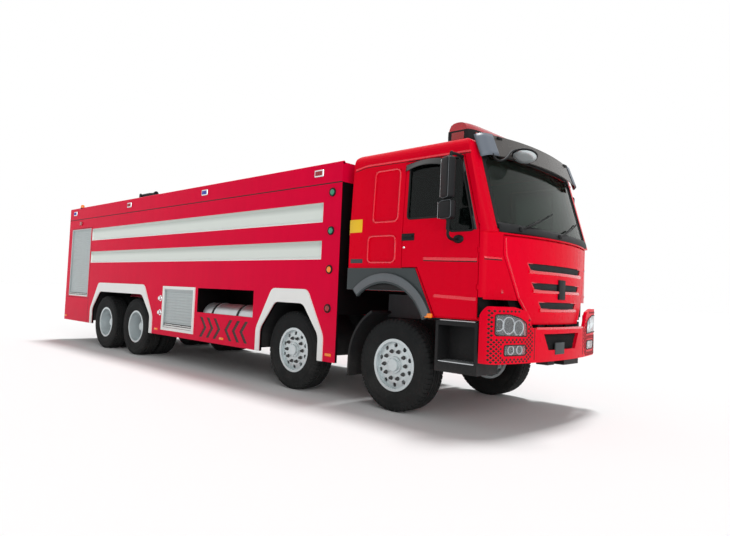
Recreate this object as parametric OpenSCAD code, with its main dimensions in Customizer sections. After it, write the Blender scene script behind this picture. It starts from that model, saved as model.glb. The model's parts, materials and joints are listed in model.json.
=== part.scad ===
// Eight-wheeled foam fire truck with a tilting cab and a closed tank body.
// X points forward, Y to the truck's left, Z up; the origin is on the ground under the middle.

/* [Layout] */
// First axle to the front of the bumper
front_overhang = 1500; // [1440:10:1600]
// First to second steered axle
steer_axle_gap = 1800; // [1700:10:2000]
// Second to third axle
middle_gap = 4590; // [4300:10:5200]
// Third to fourth axle
tandem_gap = 1350; // [1300:10:1450]
// Fourth axle to the rear wall of the body
rear_overhang = 2210; // [2000:10:2500]
// How far the ladder stands out behind the rear wall
ladder_depth = 90; // [80:5:150]

/* [Wheels] */
// Outer diameter of every tyre
tyre_d = 1060; // [1020:5:1100]
// Width of one tyre
tyre_w = 300; // [270:5:310]
// Diameter of the rim's bead seat
rim_d = 560; // [540:5:572]
// Height of the rim flange above the bead seat
flange_h = 20; // [12:1:28]
// Width between the rim's outer flange faces
rim_w = 256; // [230:2:264]
// Distance between the centres of the steered tyres
front_track = 2022; // [1980:2:2060]
// Distance between the middles of the rear twin wheels
rear_track = 1830; // [1800:2:1850]
// Distance between the two tyres of a twin
twin_pitch = 340; // [335:1:360]
// Number of hand holes in a wheel disc
hand_holes = 10; // [6:1:12]
// Diameter of a hand hole
hand_hole_d = 52; // [30:1:60]
// Diameter of the stub axle in its hub
spindle_d = 90; // [70:2:100]
// Kingpin distance inboard of the wheel centre
kingpin_offset = 106; // [100:1:112]
// Diameter of the kingpin
kingpin_d = 50; // [40:1:56]

/* [Chassis] */
// Width over the outer faces of the frame rails
frame_w = 860; // [800:10:900]
// Height of a frame rail
rail_h = 300; // [240:5:310]
// Underside of the frame rails above the axles
rail_rise = 210; // [200:1:230]
// Width of a rail's flange
rail_flange = 80; // [70:1:90]
// Thickness of the rail's plate
rail_t = 12; // [8:1:14]
// Width of a leaf spring
spring_w = 90; // [70:1:100]

/* [Cab] */
// Width of the cab
cab_w = 2440; // [2380:10:2460]
// First axle to the rear wall of the cab
cab_rear_setback = 720; // [700:10:760]
// How far the bumper stands ahead of the cab's front panel
bumper_lead = 45; // [40:1:60]
// Height of the door sill above the frame rails
sill_rise = 70; // [65:1:90]
// Rise of the cab's lower edge over the first wheel
arch_rise = 270; // [250:5:290]
// Height of the ledge under the windscreen above the door sill
cowl_rise = 910; // [880:5:940]
// Height of the cab roof above that ledge
roof_rise = 1035; // [1000:5:1100]
// Fall of the cab roof towards its rear edge
roof_drop = 10; // [5:1:20]
// Backward lean of the windscreen in degrees
screen_lean = 17; // [15:0.5:19]
// Bow radius of the front panel in plan
panel_bow_r = 3000; // [2800:50:3400]
// Bow radius of the windscreen in plan
screen_bow_r = 6000; // [5000:100:8000]
// Radius of the cab's front corners
corner_r = 100; // [90:2:110]
// Thickness of the cab's walls and doors
wall_t = 45; // [42:1:55]
// Gap round the doors and the front panel
panel_gap = 10; // [9:0.5:12]
// Rear edge of the door ahead of the first axle
door_rear = 120; // [100:5:150]
// Front edge of the door behind the middle of the front panel
door_setback = 305; // [299:1:320]
// Thickness of the glass
glass_t = 10; // [8:1:12]
// Thickness of the hinged front panel
flap_t = 34; // [28:1:36]
// Diameter of the cab's tilt pin
tilt_pin_d = 36; // [30:1:40]

/* [Bumper] */
// Underside of the bumper below the door sill
bumper_drop = 420; // [400:5:450]
// Height of the bumper in the middle
bumper_mid_h = 360; // [340:5:365]
// Height of the bumper at its corners
bumper_corner_h = 572; // [550:2:580]
// Bow radius of the bumper in plan
bumper_bow_r = 5000; // [4000:100:6000]
// Thickness of the bumper's wall
bumper_t = 40; // [30:1:44]
// Width of the bumper
bumper_w = 2480; // [2440:10:2500]

/* [Tank body] */
// Width over the side panels
body_w = 2500; // [2460:10:2540]
// Gap between the cab and the body
cab_gap = 145; // [130:5:200]
// Lower edge of the side panels
body_bottom_z = 460; // [430:10:500]
// Height of the side panels
body_h = 2267; // [2240:1:2300]
// Height of the parapet on top of them
parapet_h = 248; // [220:1:290]
// Thickness of the body's panels
panel_t = 40; // [36:1:50]
// How far the white trim stands out
trim_t = 16; // [10:1:24]
// Underside of the tank above the frame rails
tank_rise = 330; // [328:1:360]
// Depth of the white bands
band_depth = 22; // [14:1:26]
// Height of a slat of the roller shutters
slat_h = 45; // [35:1:60]
// Diameter of the round side lamps
side_lamp_d = 112; // [90:2:120]

/* [Roof equipment] */
// Distance of the monitor ahead of the rear wall
monitor_inset = 1000; // [900:10:1200]
// Height of the barrel's tilt axis above the deck
monitor_h = 690; // [620:10:760]
// Length of the barrel ahead of its tilt axis
barrel_len = 620; // [500:10:700]
// Diameter of the barrel
barrel_d = 96; // [80:2:110]
// Length of the light bar across the roof
light_bar_len = 1500; // [1200:10:1700]

/* [Hidden] */
$fn = 48;

// Small fits: a face that seats, and a shaft that runs
seat_gap = 0.3;
run_gap = 0.05;
far = 6000;

// Stations along the truck
overall = front_overhang + steer_axle_gap + middle_gap + tandem_gap + rear_overhang + ladder_depth;
x1 = overall / 2 - front_overhang;
x2 = x1 - steer_axle_gap;
x3 = x2 - middle_gap;
x4 = x3 - tandem_gap;
x_tandem = (x3 + x4) / 2;
body_rear = x4 - rear_overhang;
cab_rear = x1 - cab_rear_setback;
body_front = cab_rear - cab_gap;
bumper_front = x1 + front_overhang;
cab_front = bumper_front - bumper_lead;
door_front = cab_front - door_setback;
axle_z = tyre_d / 2;
body_y = body_w / 2;
inner_y = body_y - panel_t;
cab_y = cab_w / 2;
rail_y = frame_w / 2;
rim_r = rim_d / 2;
spindle_r = spindle_d / 2;

// Heights of the frame, the cab, the bumper and the body
rail_z = axle_z + rail_rise;
rail_top_z = rail_z + rail_h;
sill_z = rail_top_z + sill_rise;
arch_sill_z = sill_z + arch_rise;
cowl_z = sill_z + cowl_rise;
cab_roof_z = cowl_z + roof_rise;
cab_roof_rear_z = cab_roof_z - roof_drop;
bumper_z = sill_z - bumper_drop;
bumper_mid_z = bumper_z + bumper_mid_h;
bumper_corner_z = bumper_z + bumper_corner_h;
parapet_z = body_bottom_z + body_h;
parapet_top_z = parapet_z + parapet_h;
tank_z = rail_top_z + tank_rise;

// Reusable ways of drawing
function turn(a) = [cos(a), sin(a)];
function near(p, q, d) = p + (q - p) * d / norm(q - p);
// A corner of an outline bent over the length d on each side
function bent(a, p, b, t) = (1 - t) * (1 - t) * a + 2 * t * (1 - t) * p + t * t * b;
function bend(a, p, b, d) = [for (i = [0:4]) bent(near(p, a, d), p, near(p, b, d), i / 4)];
function arc(c, r, a0, a1, n) = [for (i = [0:n]) c + r * turn(a0 + (a1 - a0) * i / n)];
module xz(y0, y1) { translate([0, y1, 0]) rotate([90, 0, 0]) linear_extrude(y1 - y0) children(); }
module yz(xa, xb) { translate([xa, 0, 0]) rotate([90, 0, 90]) linear_extrude(xb - xa) children(); }
module box(xa, xb, ya, yb, za, zb) { translate([xa, ya, za]) cube([xb - xa, yb - ya, zb - za]); }
module rod_x(y, z, r, xa, xb) { translate([xa, y, z]) rotate([0, 90, 0]) cylinder(h = xb - xa, r = r); }
module rod_y(x, z, r, ya, yb) { translate([x, ya, z]) rotate([-90, 0, 0]) cylinder(h = yb - ya, r = r); }
module rod_z(x, y, r, za, zb) { translate([x, y, za]) cylinder(h = zb - za, r = r); }
module both() { children(); mirror([0, 1, 0]) children(); }
// A revolved part whose profile is drawn as [radius, distance outwards along the axle]
module turned(x, y, side) { translate([x, y, axle_z]) rotate([-90 * side, 0,
  0]) rotate_extrude() children(); }

// Wheels: side is 1 on the left and -1 on the right
tread_w = tyre_w * 0.84;
flange_t = 8;
bead_w = rim_w - 2 * flange_t - 1;
module tyre_ring(x, y, side) {
  b = rim_r + seat_gap;
  r = tyre_d / 2;
  h = tyre_w / 2;
  lip = rim_r + flange_h + seat_gap;
  half = [[b, bead_w / 2], [lip, bead_w / 2], [lip + 14, h * 0.84], [(b + r) / 2, h],
    [r - 52, h * 0.96], [r - 10, tread_w / 2], [r, tread_w / 2 - 16]];
  back = [for (i = [len(half) - 1:-1:0]) [half[i][0], -half[i][1]]];
  turned(x, y, side) polygon(concat(half, back));
}
module rim_barrel(x, y, side) {
  t = 12;
  h = rim_w / 2;
  f = rim_r + flange_h;
  g = h - flange_t;
  turned(x, y, side) polygon([[rim_r - t, -h], [f, -h], [f, -g], [rim_r, -g], [rim_r, g],
    [f, g], [f, h], [rim_r - t, h]]);
}
// Disc from the barrel to the hub; the face height is how far its middle stands outwards
disc_face_r = 175;
module wheel_disc(x, y, side, foot, face) {
  hole_r = (disc_face_r + rim_r) / 2 - 2;
  difference() {
    turned(x, y, side) polygon([[rim_r - 2, foot], [disc_face_r + 24, face], [40 + spindle_r, face],
      [40 + spindle_r, face - 16], [disc_face_r + 16, face - 16], [rim_r - 2, foot - 16]]);
    for (i = [0:hand_holes - 1])
      translate([x, y, axle_z]) rotate([-90 * side, 0, 0]) rotate([0, 0, (i + 0.5) * 360 / hand_holes])
        translate([hole_r, 0, -rim_w]) cylinder(h = 2 * rim_w, d = hand_hole_d);
  }
}
// Hub with its cap; the bore runs on the stub axle
module hub_turned(x, y, side, inner, outer, cap) {
  r = spindle_r + run_gap;
  turned(x, y, side) polygon([[r, inner], [spindle_r + 60, inner], [spindle_r + 60, outer - 30],
    [spindle_r + 48, outer], [cap, outer], [cap - 6, outer + 26], [0, outer + 26], [0, outer - 6],
    [r, outer - 6]]);
}
front_face = 100;
front_foot = 86;
hub_outer = 118;
kingpin_r = kingpin_d / 2;
fist_r = kingpin_r + 18;
knuckle_flange = 24;
hub_inner = fist_r + knuckle_flange + 4 - kingpin_offset;
module steer_rim(x, side) {
  y = side * front_track / 2;
  drum = rim_r - 70;
  color("silver") union() {
    rim_barrel(x, y, side);
    wheel_disc(x, y, side, front_foot, front_face);
    hub_turned(x, y, side, hub_inner, hub_outer, 74);
    turned(x, y, side) polygon([[spindle_r + 50, -10], [drum, -10], [drum, -74], [drum - 18, -74],
      [drum - 18, -22], [spindle_r + 50, -22]]);
  }
}
twin_face = 14;
module twin_rims(x, side) {
  y = side * rear_track / 2;
  color("silver") union() {
    for (k = [-1, 1]) {
      rim_barrel(x, y + side * k * twin_pitch / 2, side);
      turned(x, y, side) polygon([[spindle_r + 40, k * 1 - 1], [spindle_r + 40, k * twin_face + k],
        [disc_face_r + 20, k * twin_face + k], [rim_r - 2, k * (twin_face + 62)], [rim_r - 2, k * 48],
        [disc_face_r + 24, k * 1 - 1]]);
    }
    hub_turned(x, y, side, -150, 170, 74);
  }
}
module twin_tyres(x, side) {
  color([0.08, 0.08, 0.08]) for (k = [-1, 1])
    tyre_ring(x, side * (rear_track / 2 + k * twin_pitch / 2), side);
}
module steer_tyre(x, side) { color([0.08, 0.08, 0.08]) tyre_ring(x, side * front_track / 2, side); }

// Steering knuckle: kingpin, two ears, flange and stub axle
fist_h = 150;
ear_r = kingpin_r + 22;
ear_h = 62;
module knuckle(x, side) {
  y = side * (front_track / 2 - kingpin_offset);
  top = fist_h / 2 + seat_gap;
  color("dimgray") union() {
    rod_z(x, y, kingpin_r, axle_z - top - ear_h, axle_z + top + ear_h);
    for (k = [0, 1]) {
      za = k == 0 ? axle_z - top - ear_h : axle_z + top;
      rod_z(x, y, ear_r, za, za + ear_h);
      ya = side > 0 ? y : y - fist_r - knuckle_flange;
      box(x - ear_r + 2, x + ear_r - 2, ya, ya + fist_r + knuckle_flange, za, za + ear_h);
    }
    ya = side > 0 ? y + fist_r + 6 : y - fist_r - knuckle_flange;
    box(x - ear_r + 2, x + ear_r - 2, ya, ya + knuckle_flange - 6, axle_z - top - ear_h,
      axle_z + top + ear_h);
    yb = y + side * (fist_r + 10);
    yc = side * (front_track / 2 + hub_outer - 16);
    rod_y(x, axle_z, spindle_r, min(yb, yc), max(yb, yc));
  }
}

// Forged front axles with dropped centres, spring seats and kingpin bosses
seat_z = axle_z + 34;
spring_y = rail_y - rail_flange / 2;
beam_w = 84;
module front_axles() {
  k = front_track / 2 - kingpin_offset;
  color("dimgray") for (x = [x1, x2]) difference() {
    union() {
      translate([0, 0, axle_z]) yz(x - beam_w / 2, x + beam_w / 2) polygon([[-k, 46], [-spring_y - 70, 34],
        [spring_y + 70, 34], [k, 46], [k, -46], [spring_y + 90, -110], [-spring_y - 90, -110], [-k, -46]]);
      both() rod_z(x, k, fist_r, axle_z - fist_h / 2, axle_z + fist_h / 2);
    }
    both() rod_z(x, k, kingpin_r + run_gap, 0, 2 * axle_z);
  }
}
// Rear axles: tube, gear bowl with its nose, and the stub ends in the hubs
bowl_r = 215;
tube_r = 74;
module rear_axles() {
  e = rear_track / 2 + 150;
  color("dimgray") for (x = [x3, x4]) union() {
    rod_y(x, axle_z, tube_r, -rear_track / 2 + 158, rear_track / 2 - 158);
    rod_y(x, axle_z, spindle_r, -e, e);
    translate([x, 0, axle_z]) sphere(r = bowl_r);
    rod_x(0, axle_z, tube_r + 20, x, x + bowl_r + 90);
    both() box(x - 70, x + 70, spring_y - spring_w / 2, spring_y + spring_w / 2, axle_z,
      axle_z + tube_r + 26);
  }
}
// Leaf springs: front packs hang from the rails, the rear packs rock on a trunnion
front_spring_l = 1400;
spring_arch = 90;
leaf_pack_h = 56;
module leaf_arc(x, z, half, rise, h) {
  r = (half * half + rise * rise) / (2 * rise);
  xz(-spring_w / 2, spring_w / 2) intersection() {
    difference() {
      translate([x, z + r]) circle(r = r, $fn = 96);
      translate([x, z + r]) circle(r = r - h, $fn = 96);
    }
    translate([x - half, z - 1]) square([2 * half, rise + h + 2]);
  }
}
module leaf_springs() {
  color([0.13, 0.13, 0.14]) both() translate([0, spring_y, 0]) {
    for (x = [x1, x2]) union() {
      leaf_arc(x, seat_z + 18, front_spring_l / 2, spring_arch, 28);
      leaf_arc(x, seat_z + 34, front_spring_l / 3, spring_arch * 0.5, leaf_pack_h);
      box(x - 80, x + 80, -spring_w / 2, spring_w / 2, seat_z, seat_z + leaf_pack_h + 24);
      for (k = [-1, 1]) box(x + k * (front_spring_l / 2 - 40) - 34, x + k * (front_spring_l / 2 - 40) + 34,
        -spring_w / 2, spring_w / 2, seat_z + 70, rail_z);
    }
    union() {
      z = axle_z + tube_r + 26;
      box(x4 - 110, x3 + 110, -spring_w / 2, spring_w / 2, z, z + 34);
      box(x_tandem - 420, x_tandem + 420, -spring_w / 2, spring_w / 2, z + 10, z + 84);
      box(x_tandem - 110, x_tandem + 110, -spring_w / 2, spring_w / 2, z - 110, rail_z);
    }
  }
}
// Engine block with its gearbox; the feet rest on the rails' lower flanges
engine_rear = body_front + 30;
engine_front = x1 + 270;
gearbox_rear = engine_rear - 820;
engine_w = frame_w - 2 * rail_t - 20;
module engine() {
  color([0.3, 0.32, 0.34]) union() {
    box(engine_rear, engine_front, -engine_w * 0.38, engine_w * 0.38, rail_z - 60, arch_sill_z - 40);
    for (x = [engine_rear + 120, engine_front - 120])
      box(x - 50, x + 50, -rail_y + rail_t, rail_y - rail_t, rail_z + rail_t, rail_z + rail_t + 70);
    rod_x(0, axle_z + 320, 190, gearbox_rear, engine_rear);
  }
}
// Shafts from the gearbox to the two driven axles
shaft_z = axle_z + 320;
module prop_shafts() {
  nose3 = x3 + bowl_r + 90;
  bearing_x = x3 + 1500;
  len = bearing_x - nose3;
  drop = shaft_z - axle_z;
  color("gray") union() {
    rod_x(0, shaft_z, 55, bearing_x, gearbox_rear);
    rod_x(0, shaft_z, 90, gearbox_rear - 40, gearbox_rear);
    translate([nose3 + 20, 0, axle_z]) rotate([0, 90 - atan(drop / (len - 20)), 0])
      cylinder(h = norm([len, drop]), r = 55);
    rod_x(0, axle_z, 84, nose3, nose3 + 40);
    box(bearing_x - 40, bearing_x + 60, -rail_y + rail_t, rail_y - rail_t, shaft_z - 40, shaft_z + 40);
  }
  color("gray") rod_x(0, axle_z, 50, x4 + bowl_r + 90, x3 - bowl_r - seat_gap);
}

// Frame: two channel rails, cross tubes, the cab's tilt pin and the towing jaws
rail_setback = 95;
tilt_setback = 70;
tilt_rise = 35;
rail_front = cab_front - rail_setback;
rail_rear = body_rear + 260;
tilt_x = cab_front - tilt_setback;
tilt_z = rail_top_z + tilt_rise;
tilt_r = tilt_pin_d / 2;
tilt_eye_r = tilt_rise - 7;
front_plate_z = rail_z + 80;
tow_bore_d = 50;
tow_h = 90;
cross_n = 10;
cross_x = [for (i = [0:cross_n]) rail_rear + 120 + i * (rail_front - rail_rear - 320) / cross_n];
module channel() {
  polygon([[rail_y, rail_z], [rail_y, rail_top_z], [rail_y - rail_flange, rail_top_z],
    [rail_y - rail_flange, rail_top_z - rail_t], [rail_y - rail_t, rail_top_z - rail_t],
    [rail_y - rail_t, rail_z + rail_t], [rail_y - rail_flange, rail_z + rail_t], [rail_y - rail_flange,
      rail_z]]);
}
front_jaw_x = rail_front - 70;
rear_jaw_x = rail_rear - 60;
module frame_rails() {
  color([0.1, 0.1, 0.11]) difference() {
    union() {
      both() yz(rail_rear, rail_front) channel();
      for (x = cross_x) if (x < gearbox_rear - 80 || x > engine_front + 80)
        rod_y(x, rail_top_z - 62, 44, -rail_y + 2, rail_y - 2);
      rod_y(tilt_x, tilt_z, tilt_r, -rail_y, rail_y);
      both() xz(rail_y - rail_t - 14, rail_y) {
        translate([tilt_x, tilt_z]) circle(r = tilt_eye_r);
        polygon([[rail_front - 150, front_plate_z], [rail_front, front_plate_z],
          [tilt_x + tilt_eye_r - 3, tilt_z],
          [tilt_x - tilt_eye_r + 3, tilt_z], [rail_front - 150, rail_top_z]]);
      }
      box(rail_rear - 20, rail_rear, -rail_y, rail_y, rail_z, rail_top_z);
      box(rail_rear - 130, rail_rear, -80, 80, rail_z + 80, rail_z + 80 + tow_h);
      box(rail_front - 20, rail_front, -rail_y, rail_y, rail_z - 30, front_plate_z);
      box(front_jaw_x - 70, rail_front, -80, 80, rail_z - 30 - tow_h, rail_z - 30);
    }
    rod_z(rear_jaw_x - 10, 0, tow_bore_d / 2, 0, rail_top_z);
    rod_z(front_jaw_x - 10, 0, tow_bore_d / 2, 0, rail_z);
  }
}

// Plan of the cab's nose: a shallow bow that runs tangent into round corners
module nose_plan(front, half, bow, r, i) {
  bc = front - bow;
  yc = half - r;
  xc = bc + sqrt((bow - r) * (bow - r) - yc * yc);
  a = atan2(yc, xc - bc);
  back = [[cab_rear - 500, half - i], [cab_rear - 500, i - half]];
  polygon(concat(arc([bc, 0], bow - i, -a, a, 18), arc([xc, yc], r - i, a, 90, 6), back,
    arc([xc, -yc], r - i, -90, -a, 6)));
}
// Half width of the cab below the cowl at a station in its round corner
nose_yc = cab_y - corner_r;
nose_xc = cab_front - panel_bow_r + sqrt((panel_bow_r - corner_r) * (panel_bow_r - corner_r)
  - nose_yc * nose_yc);
function nose_half(x) = nose_yc + sqrt(corner_r * corner_r - max(0, x - nose_xc) * max(0, x - nose_xc));
// Side outline of the cab, inset by i
roof_break = cab_front - 655;
roof_r = 260;
arch_top_x = x1 + 300;
arch_foot_x = x1 + 575;
module cab_side(i) {
  lower = [[cab_rear + i, arch_sill_z + i], [arch_top_x, arch_sill_z + i], [arch_foot_x, sill_z + i],
    [cab_front + 300, sill_z + i], [cab_front + 300, cab_roof_z - 190 - i]];
  upper = [[x1 + 150, cab_roof_z - i], [cab_rear + 40 + i, cab_roof_rear_z - i],
    [cab_rear + i, cab_roof_rear_z - 40 - i]];
  polygon(concat(lower, arc([roof_break, cab_roof_z - roof_r], roof_r - i, 35, 90, 8), upper));
}
// Front outline of the cab, inset by i: upright to the belt, then drawn in towards a round roof edge
roof_edge_r = 150;
tumble = 35;
belt_z = cowl_z + 30;
module cab_front_view(i) {
  top_y = cab_y - tumble;
  right = concat([[cab_y - i, 0], [cab_y - i, belt_z]],
    arc([top_y - roof_edge_r, cab_roof_z - roof_edge_r], roof_edge_r - i, 0, 90, 8));
  polygon(concat(right, [for (k = [len(right) - 1:-1:0]) [-right[k][0], right[k][1]]]));
}
screen_setback = 79;
screen_front = cab_front - screen_setback;
module cab_block(i) {
  intersection() {
    xz(-cab_w, cab_w) cab_side(i);
    yz(cab_rear - 100, cab_front + 400) cab_front_view(i);
    union() {
      translate([0, 0, sill_z - 200]) linear_extrude(cowl_z - sill_z + 200)
        nose_plan(cab_front, cab_y, panel_bow_r, corner_r, i);
      intersection() {
        box(cab_rear - 400, cab_front + 400, -cab_w, cab_w, cowl_z, cab_roof_z + 100);
        translate([screen_front, 0, cowl_z]) rotate([0, -screen_lean, 0]) translate([-screen_front, 0,
          -far / 2])
          linear_extrude(far) nose_plan(screen_front, cab_y, screen_bow_r, corner_r, i);
      }
    }
  }
}
module cab_layer(a, b) { difference() { cab_block(a); cab_block(b); } }
// Front wall alone, below the cowl, between two insets
module nose_layer(a, b) {
  translate([0, 0, sill_z - 100]) linear_extrude(cowl_z - sill_z + 100) difference() {
    nose_plan(cab_front, cab_y, panel_bow_r, corner_r, a);
    nose_plan(cab_front, cab_y, panel_bow_r, corner_r, b);
    translate([door_front - far, -far]) square([far, 2 * far]);
  }
}
// Outer side of the cab at a height
function side_y(z) = cab_y - tumble * max(0, z - belt_z) / (cab_roof_z - roof_edge_r - belt_z);

// Outlines cut in the cab; each grows by g
screen_base_z = cowl_z + 34;
screen_top_z = cab_roof_z - 165;
screen_half = cab_y - 145;
module screen_outline(g) {
  h = screen_half + g;
  polygon([[-h, screen_base_z - g], [h, screen_base_z - g], [h - 24, screen_top_z + g], [24 - h,
    screen_top_z + g]]);
}
flap_top_z = cowl_z - 34;
flap_shoulder_z = cowl_z - 220;
flap_knee_z = sill_z + 240;
flap_lip_z = sill_z + 26;
flap_half = cab_y - 240;
flap_knee_half = flap_half - 200;
flap_lip_half = flap_half - 370;
module flap_outline(g) {
  right = [[flap_lip_half + g, flap_lip_z - g], [flap_knee_half + g, flap_knee_z - g], [flap_half + g,
    flap_shoulder_z],
    [flap_half + g, flap_top_z + g * 1.8]];
  polygon(concat(right, [for (k = [3:-1:0]) [-right[k][0], right[k][1]]]));
}
// Door outline, shrunk by g
door_top_z = cab_roof_z - 193;
fender_z = arch_sill_z + 260;
module door_outline(g) {
  rear = x1 + door_rear + g;
  polygon([[door_front - g, sill_z + 2 * g], [door_front - g, belt_z - 20], [door_front - 238 - g,
    door_top_z - g],
    [rear, door_top_z - g], [rear, fender_z + g], [arch_top_x + 45 + g, fender_z + g],
    [arch_foot_x + 33 + g, sill_z + 2 * g]]);
}
// Door window with its lowered front corner, grown by g
window_top_z = door_top_z - 37;
window_sill_z = cowl_z + 175;
window_low_z = cowl_z + 10;
window_rear = x1 + door_rear + 65;
module window_outline(g) {
  polygon([[window_rear - g, window_top_z + g], [window_rear - g, window_sill_z - g],
    [door_front - 430 - g, window_sill_z - g], [door_front - 378 - g, window_low_z - g],
    [door_front - 72 + g, window_low_z - g], [door_front - 288 + g, window_top_z + g]]);
}
module door_zone(s, g) {
  difference() {
    xz(s > 0 ? cab_y - 160 : -cab_y - 60, s > 0 ? cab_y + 60 : 160 - cab_y) door_outline(g);
    yz(x1 - 100, cab_front) cab_front_view(wall_t - g);
  }
}
module window_zone(s, g) {
  xz(s > 0 ? cab_y - 200 : -cab_y - 60, s > 0 ? cab_y + 60 : 200 - cab_y) window_outline(g);
}
// Door hinges: an arm and pin on the pillar stand in a notch of the door
hinge_r = 6;
hinge_inset = 8;
hinge_x = door_front - panel_gap - hinge_inset;
hinge_y = nose_half(door_front + panel_gap) - hinge_r;
hinge_at = [sill_z + 310, sill_z + 690];
hinge_h = 60;
pin_reach = 28;
hinge_room = 9;
// Room in the pillar's foot for the corner of the opening door
hinge_swing_r = 16;
module hinge_swing() {
  rod_z(hinge_x, hinge_y, hinge_swing_r, belt_z - 30, belt_z + 50);
}
module hinge_notch(g) {
  for (z = hinge_at) {
    box(hinge_x - hinge_room, hinge_x + 60, hinge_y - hinge_room, cab_y + 20, z, z + hinge_h);
    rod_z(hinge_x, hinge_y, hinge_r + g, z - pin_reach - 2, z + hinge_h + pin_reach + 2);
  }
}
module hinge_arm() {
  for (z = hinge_at) {
    box(hinge_x, hinge_x + 30, hinge_y - hinge_r + 1, hinge_y + hinge_r - 1, z + 5, z + hinge_h - 5);
    rod_z(hinge_x, hinge_y, hinge_r, z - pin_reach, z + hinge_h + pin_reach);
  }
}
// Front panel hinges: arms on the bulkhead stand in notches behind the panel's top edge
flap_hinge_x = cab_front - 20;
flap_hinge_z = flap_top_z - 18;
flap_hinge_r = 5;
flap_hinge_y = 120;
flap_arm_w = 40;
module flap_notch(g) {
  for (s = [-1, 1]) {
    y = s * flap_hinge_y;
    box(flap_hinge_x - 60, flap_hinge_x + hinge_room, y - flap_arm_w / 2 - 5, y + flap_arm_w / 2 + 5,
      flap_hinge_z - hinge_room, cowl_z);
    rod_y(flap_hinge_x, flap_hinge_z, flap_hinge_r + g, y - flap_arm_w / 2 - 27, y + flap_arm_w / 2 + 27);
  }
}
module flap_arm() {
  for (s = [-1, 1]) {
    y = s * flap_hinge_y;
    box(flap_hinge_x - 30, flap_hinge_x, y - flap_arm_w / 2, y + flap_arm_w / 2,
      flap_hinge_z - flap_hinge_r + 1,
      flap_hinge_z + flap_hinge_r - 1);
    rod_y(flap_hinge_x, flap_hinge_z, flap_hinge_r, y - flap_arm_w / 2 - 25, y + flap_arm_w / 2 + 25);
  }
}
corner_sill_z = sill_z + 220;
corner_half = flap_half - 420;
blank_depth = 9;
bulkhead_in = flap_t + 6;
bulkhead_t = 50;
bulkhead_knee_z = sill_z + 140;
bulkhead_half = flap_half - 380;
// Pressed blanks behind the door: [rear, front, lower edge, upper edge]
blanks = [[x1 - 340, x1 + 50, cowl_z + 160, cab_roof_z - 265], [x1 - 400, x1 + 30, fender_z + 65,
  cowl_z - 5]];
lug_y = 200;
lug_w = 40;
module cab_shell() {
  color("firebrick") difference() {
    union() {
      difference() {
        cab_layer(0, wall_t);
        for (k = [-1, 1]) door_zone(k, 0);
        both() hinge_swing();
        yz(door_front + 1, cab_front + 100) flap_outline(panel_gap);
        yz(arch_foot_x, cab_front + 100) screen_outline(0);
        both() box(door_front + panel_gap, cab_front + 100, corner_half, cab_w, 0, corner_sill_z);
        intersection() {
          nose_layer(-20, bulkhead_in);
          box(x1, cab_front + 100, -cab_y, cab_y, 0, flap_lip_z + 10);
        }
        both() difference() {
          for (b = blanks) box(b[0], b[1], cab_y - 160, cab_y + 60, b[2], b[3]);
          yz(cab_rear, x1 + 100) cab_front_view(blank_depth);
        }
      }
      intersection() {
        nose_layer(bulkhead_in, bulkhead_in + bulkhead_t);
        yz(door_front, cab_front + 100) flap_outline(70);
        union() {
          box(door_front, cab_front + 100, -bulkhead_half, bulkhead_half, flap_lip_z - 4, cowl_z);
          box(door_front, cab_front + 100, -cab_w, cab_w, bulkhead_knee_z, cowl_z);
        }
      }
      intersection() {
        cab_block(bulkhead_in);
        both() {
          box(door_front, cab_front, corner_half - 40, cab_y, corner_sill_z, corner_sill_z + wall_t);
          box(door_front - wall_t + panel_gap, door_front + panel_gap, corner_half - 40,
            cab_y - wall_t - panel_gap,
            sill_z, corner_sill_z + wall_t);
        }
      }
      for (y = [-lug_y - lug_w, lug_y]) xz(y, y + lug_w) {
        translate([tilt_x, tilt_z]) circle(r = tilt_r + 15);
        polygon([[tilt_x - tilt_r - 12, tilt_z], [tilt_x + 4, tilt_z], [tilt_x - 4, sill_z + 90],
          [tilt_x - 46, sill_z + 90]]);
      }
      both() hinge_arm();
      flap_arm();
    }
    rod_y(tilt_x, tilt_z, tilt_r + run_gap, -400, 400);
  }
}
module door(s) {
  color("firebrick") difference() {
    intersection() {
      cab_block(0);
      door_zone(s, panel_gap);
    }
    window_zone(s, 0);
    mirror([0, s > 0 ? 0 : 1, 0]) hinge_notch(run_gap);
  }
}
module door_glass(s) {
  color([0.2, 0.25, 0.25, 0.5]) intersection() {
    cab_layer(14, 14 + glass_t);
    window_zone(s, -seat_gap);
  }
}
module windscreen() {
  color([0.2, 0.25, 0.25, 0.5]) intersection() {
    cab_layer(12, 12 + glass_t);
    yz(arch_foot_x, cab_front + 100) screen_outline(-seat_gap);
  }
}
// Grille slots of the front panel, from the top: [lower edge, upper edge, half width below, above]
slot_h = 75;
slot_top_z = flap_top_z - 256;
slot_pitch = (slot_top_z - slot_h - flap_knee_z + 100) / 2;
slot_halves = [600, 530, 410];
slots = [for (k = [0:2]) [slot_top_z - slot_h - k * slot_pitch, slot_top_z - k * slot_pitch, slot_halves[k],
  slot_halves[k] + 55]];
module slot_outline(s, g) {
  polygon([[-s[2] - g, s[0] - g], [s[2] + g, s[0] - g], [s[3] + g, s[1] + g], [-s[3] - g, s[1] + g]]);
}
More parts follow.
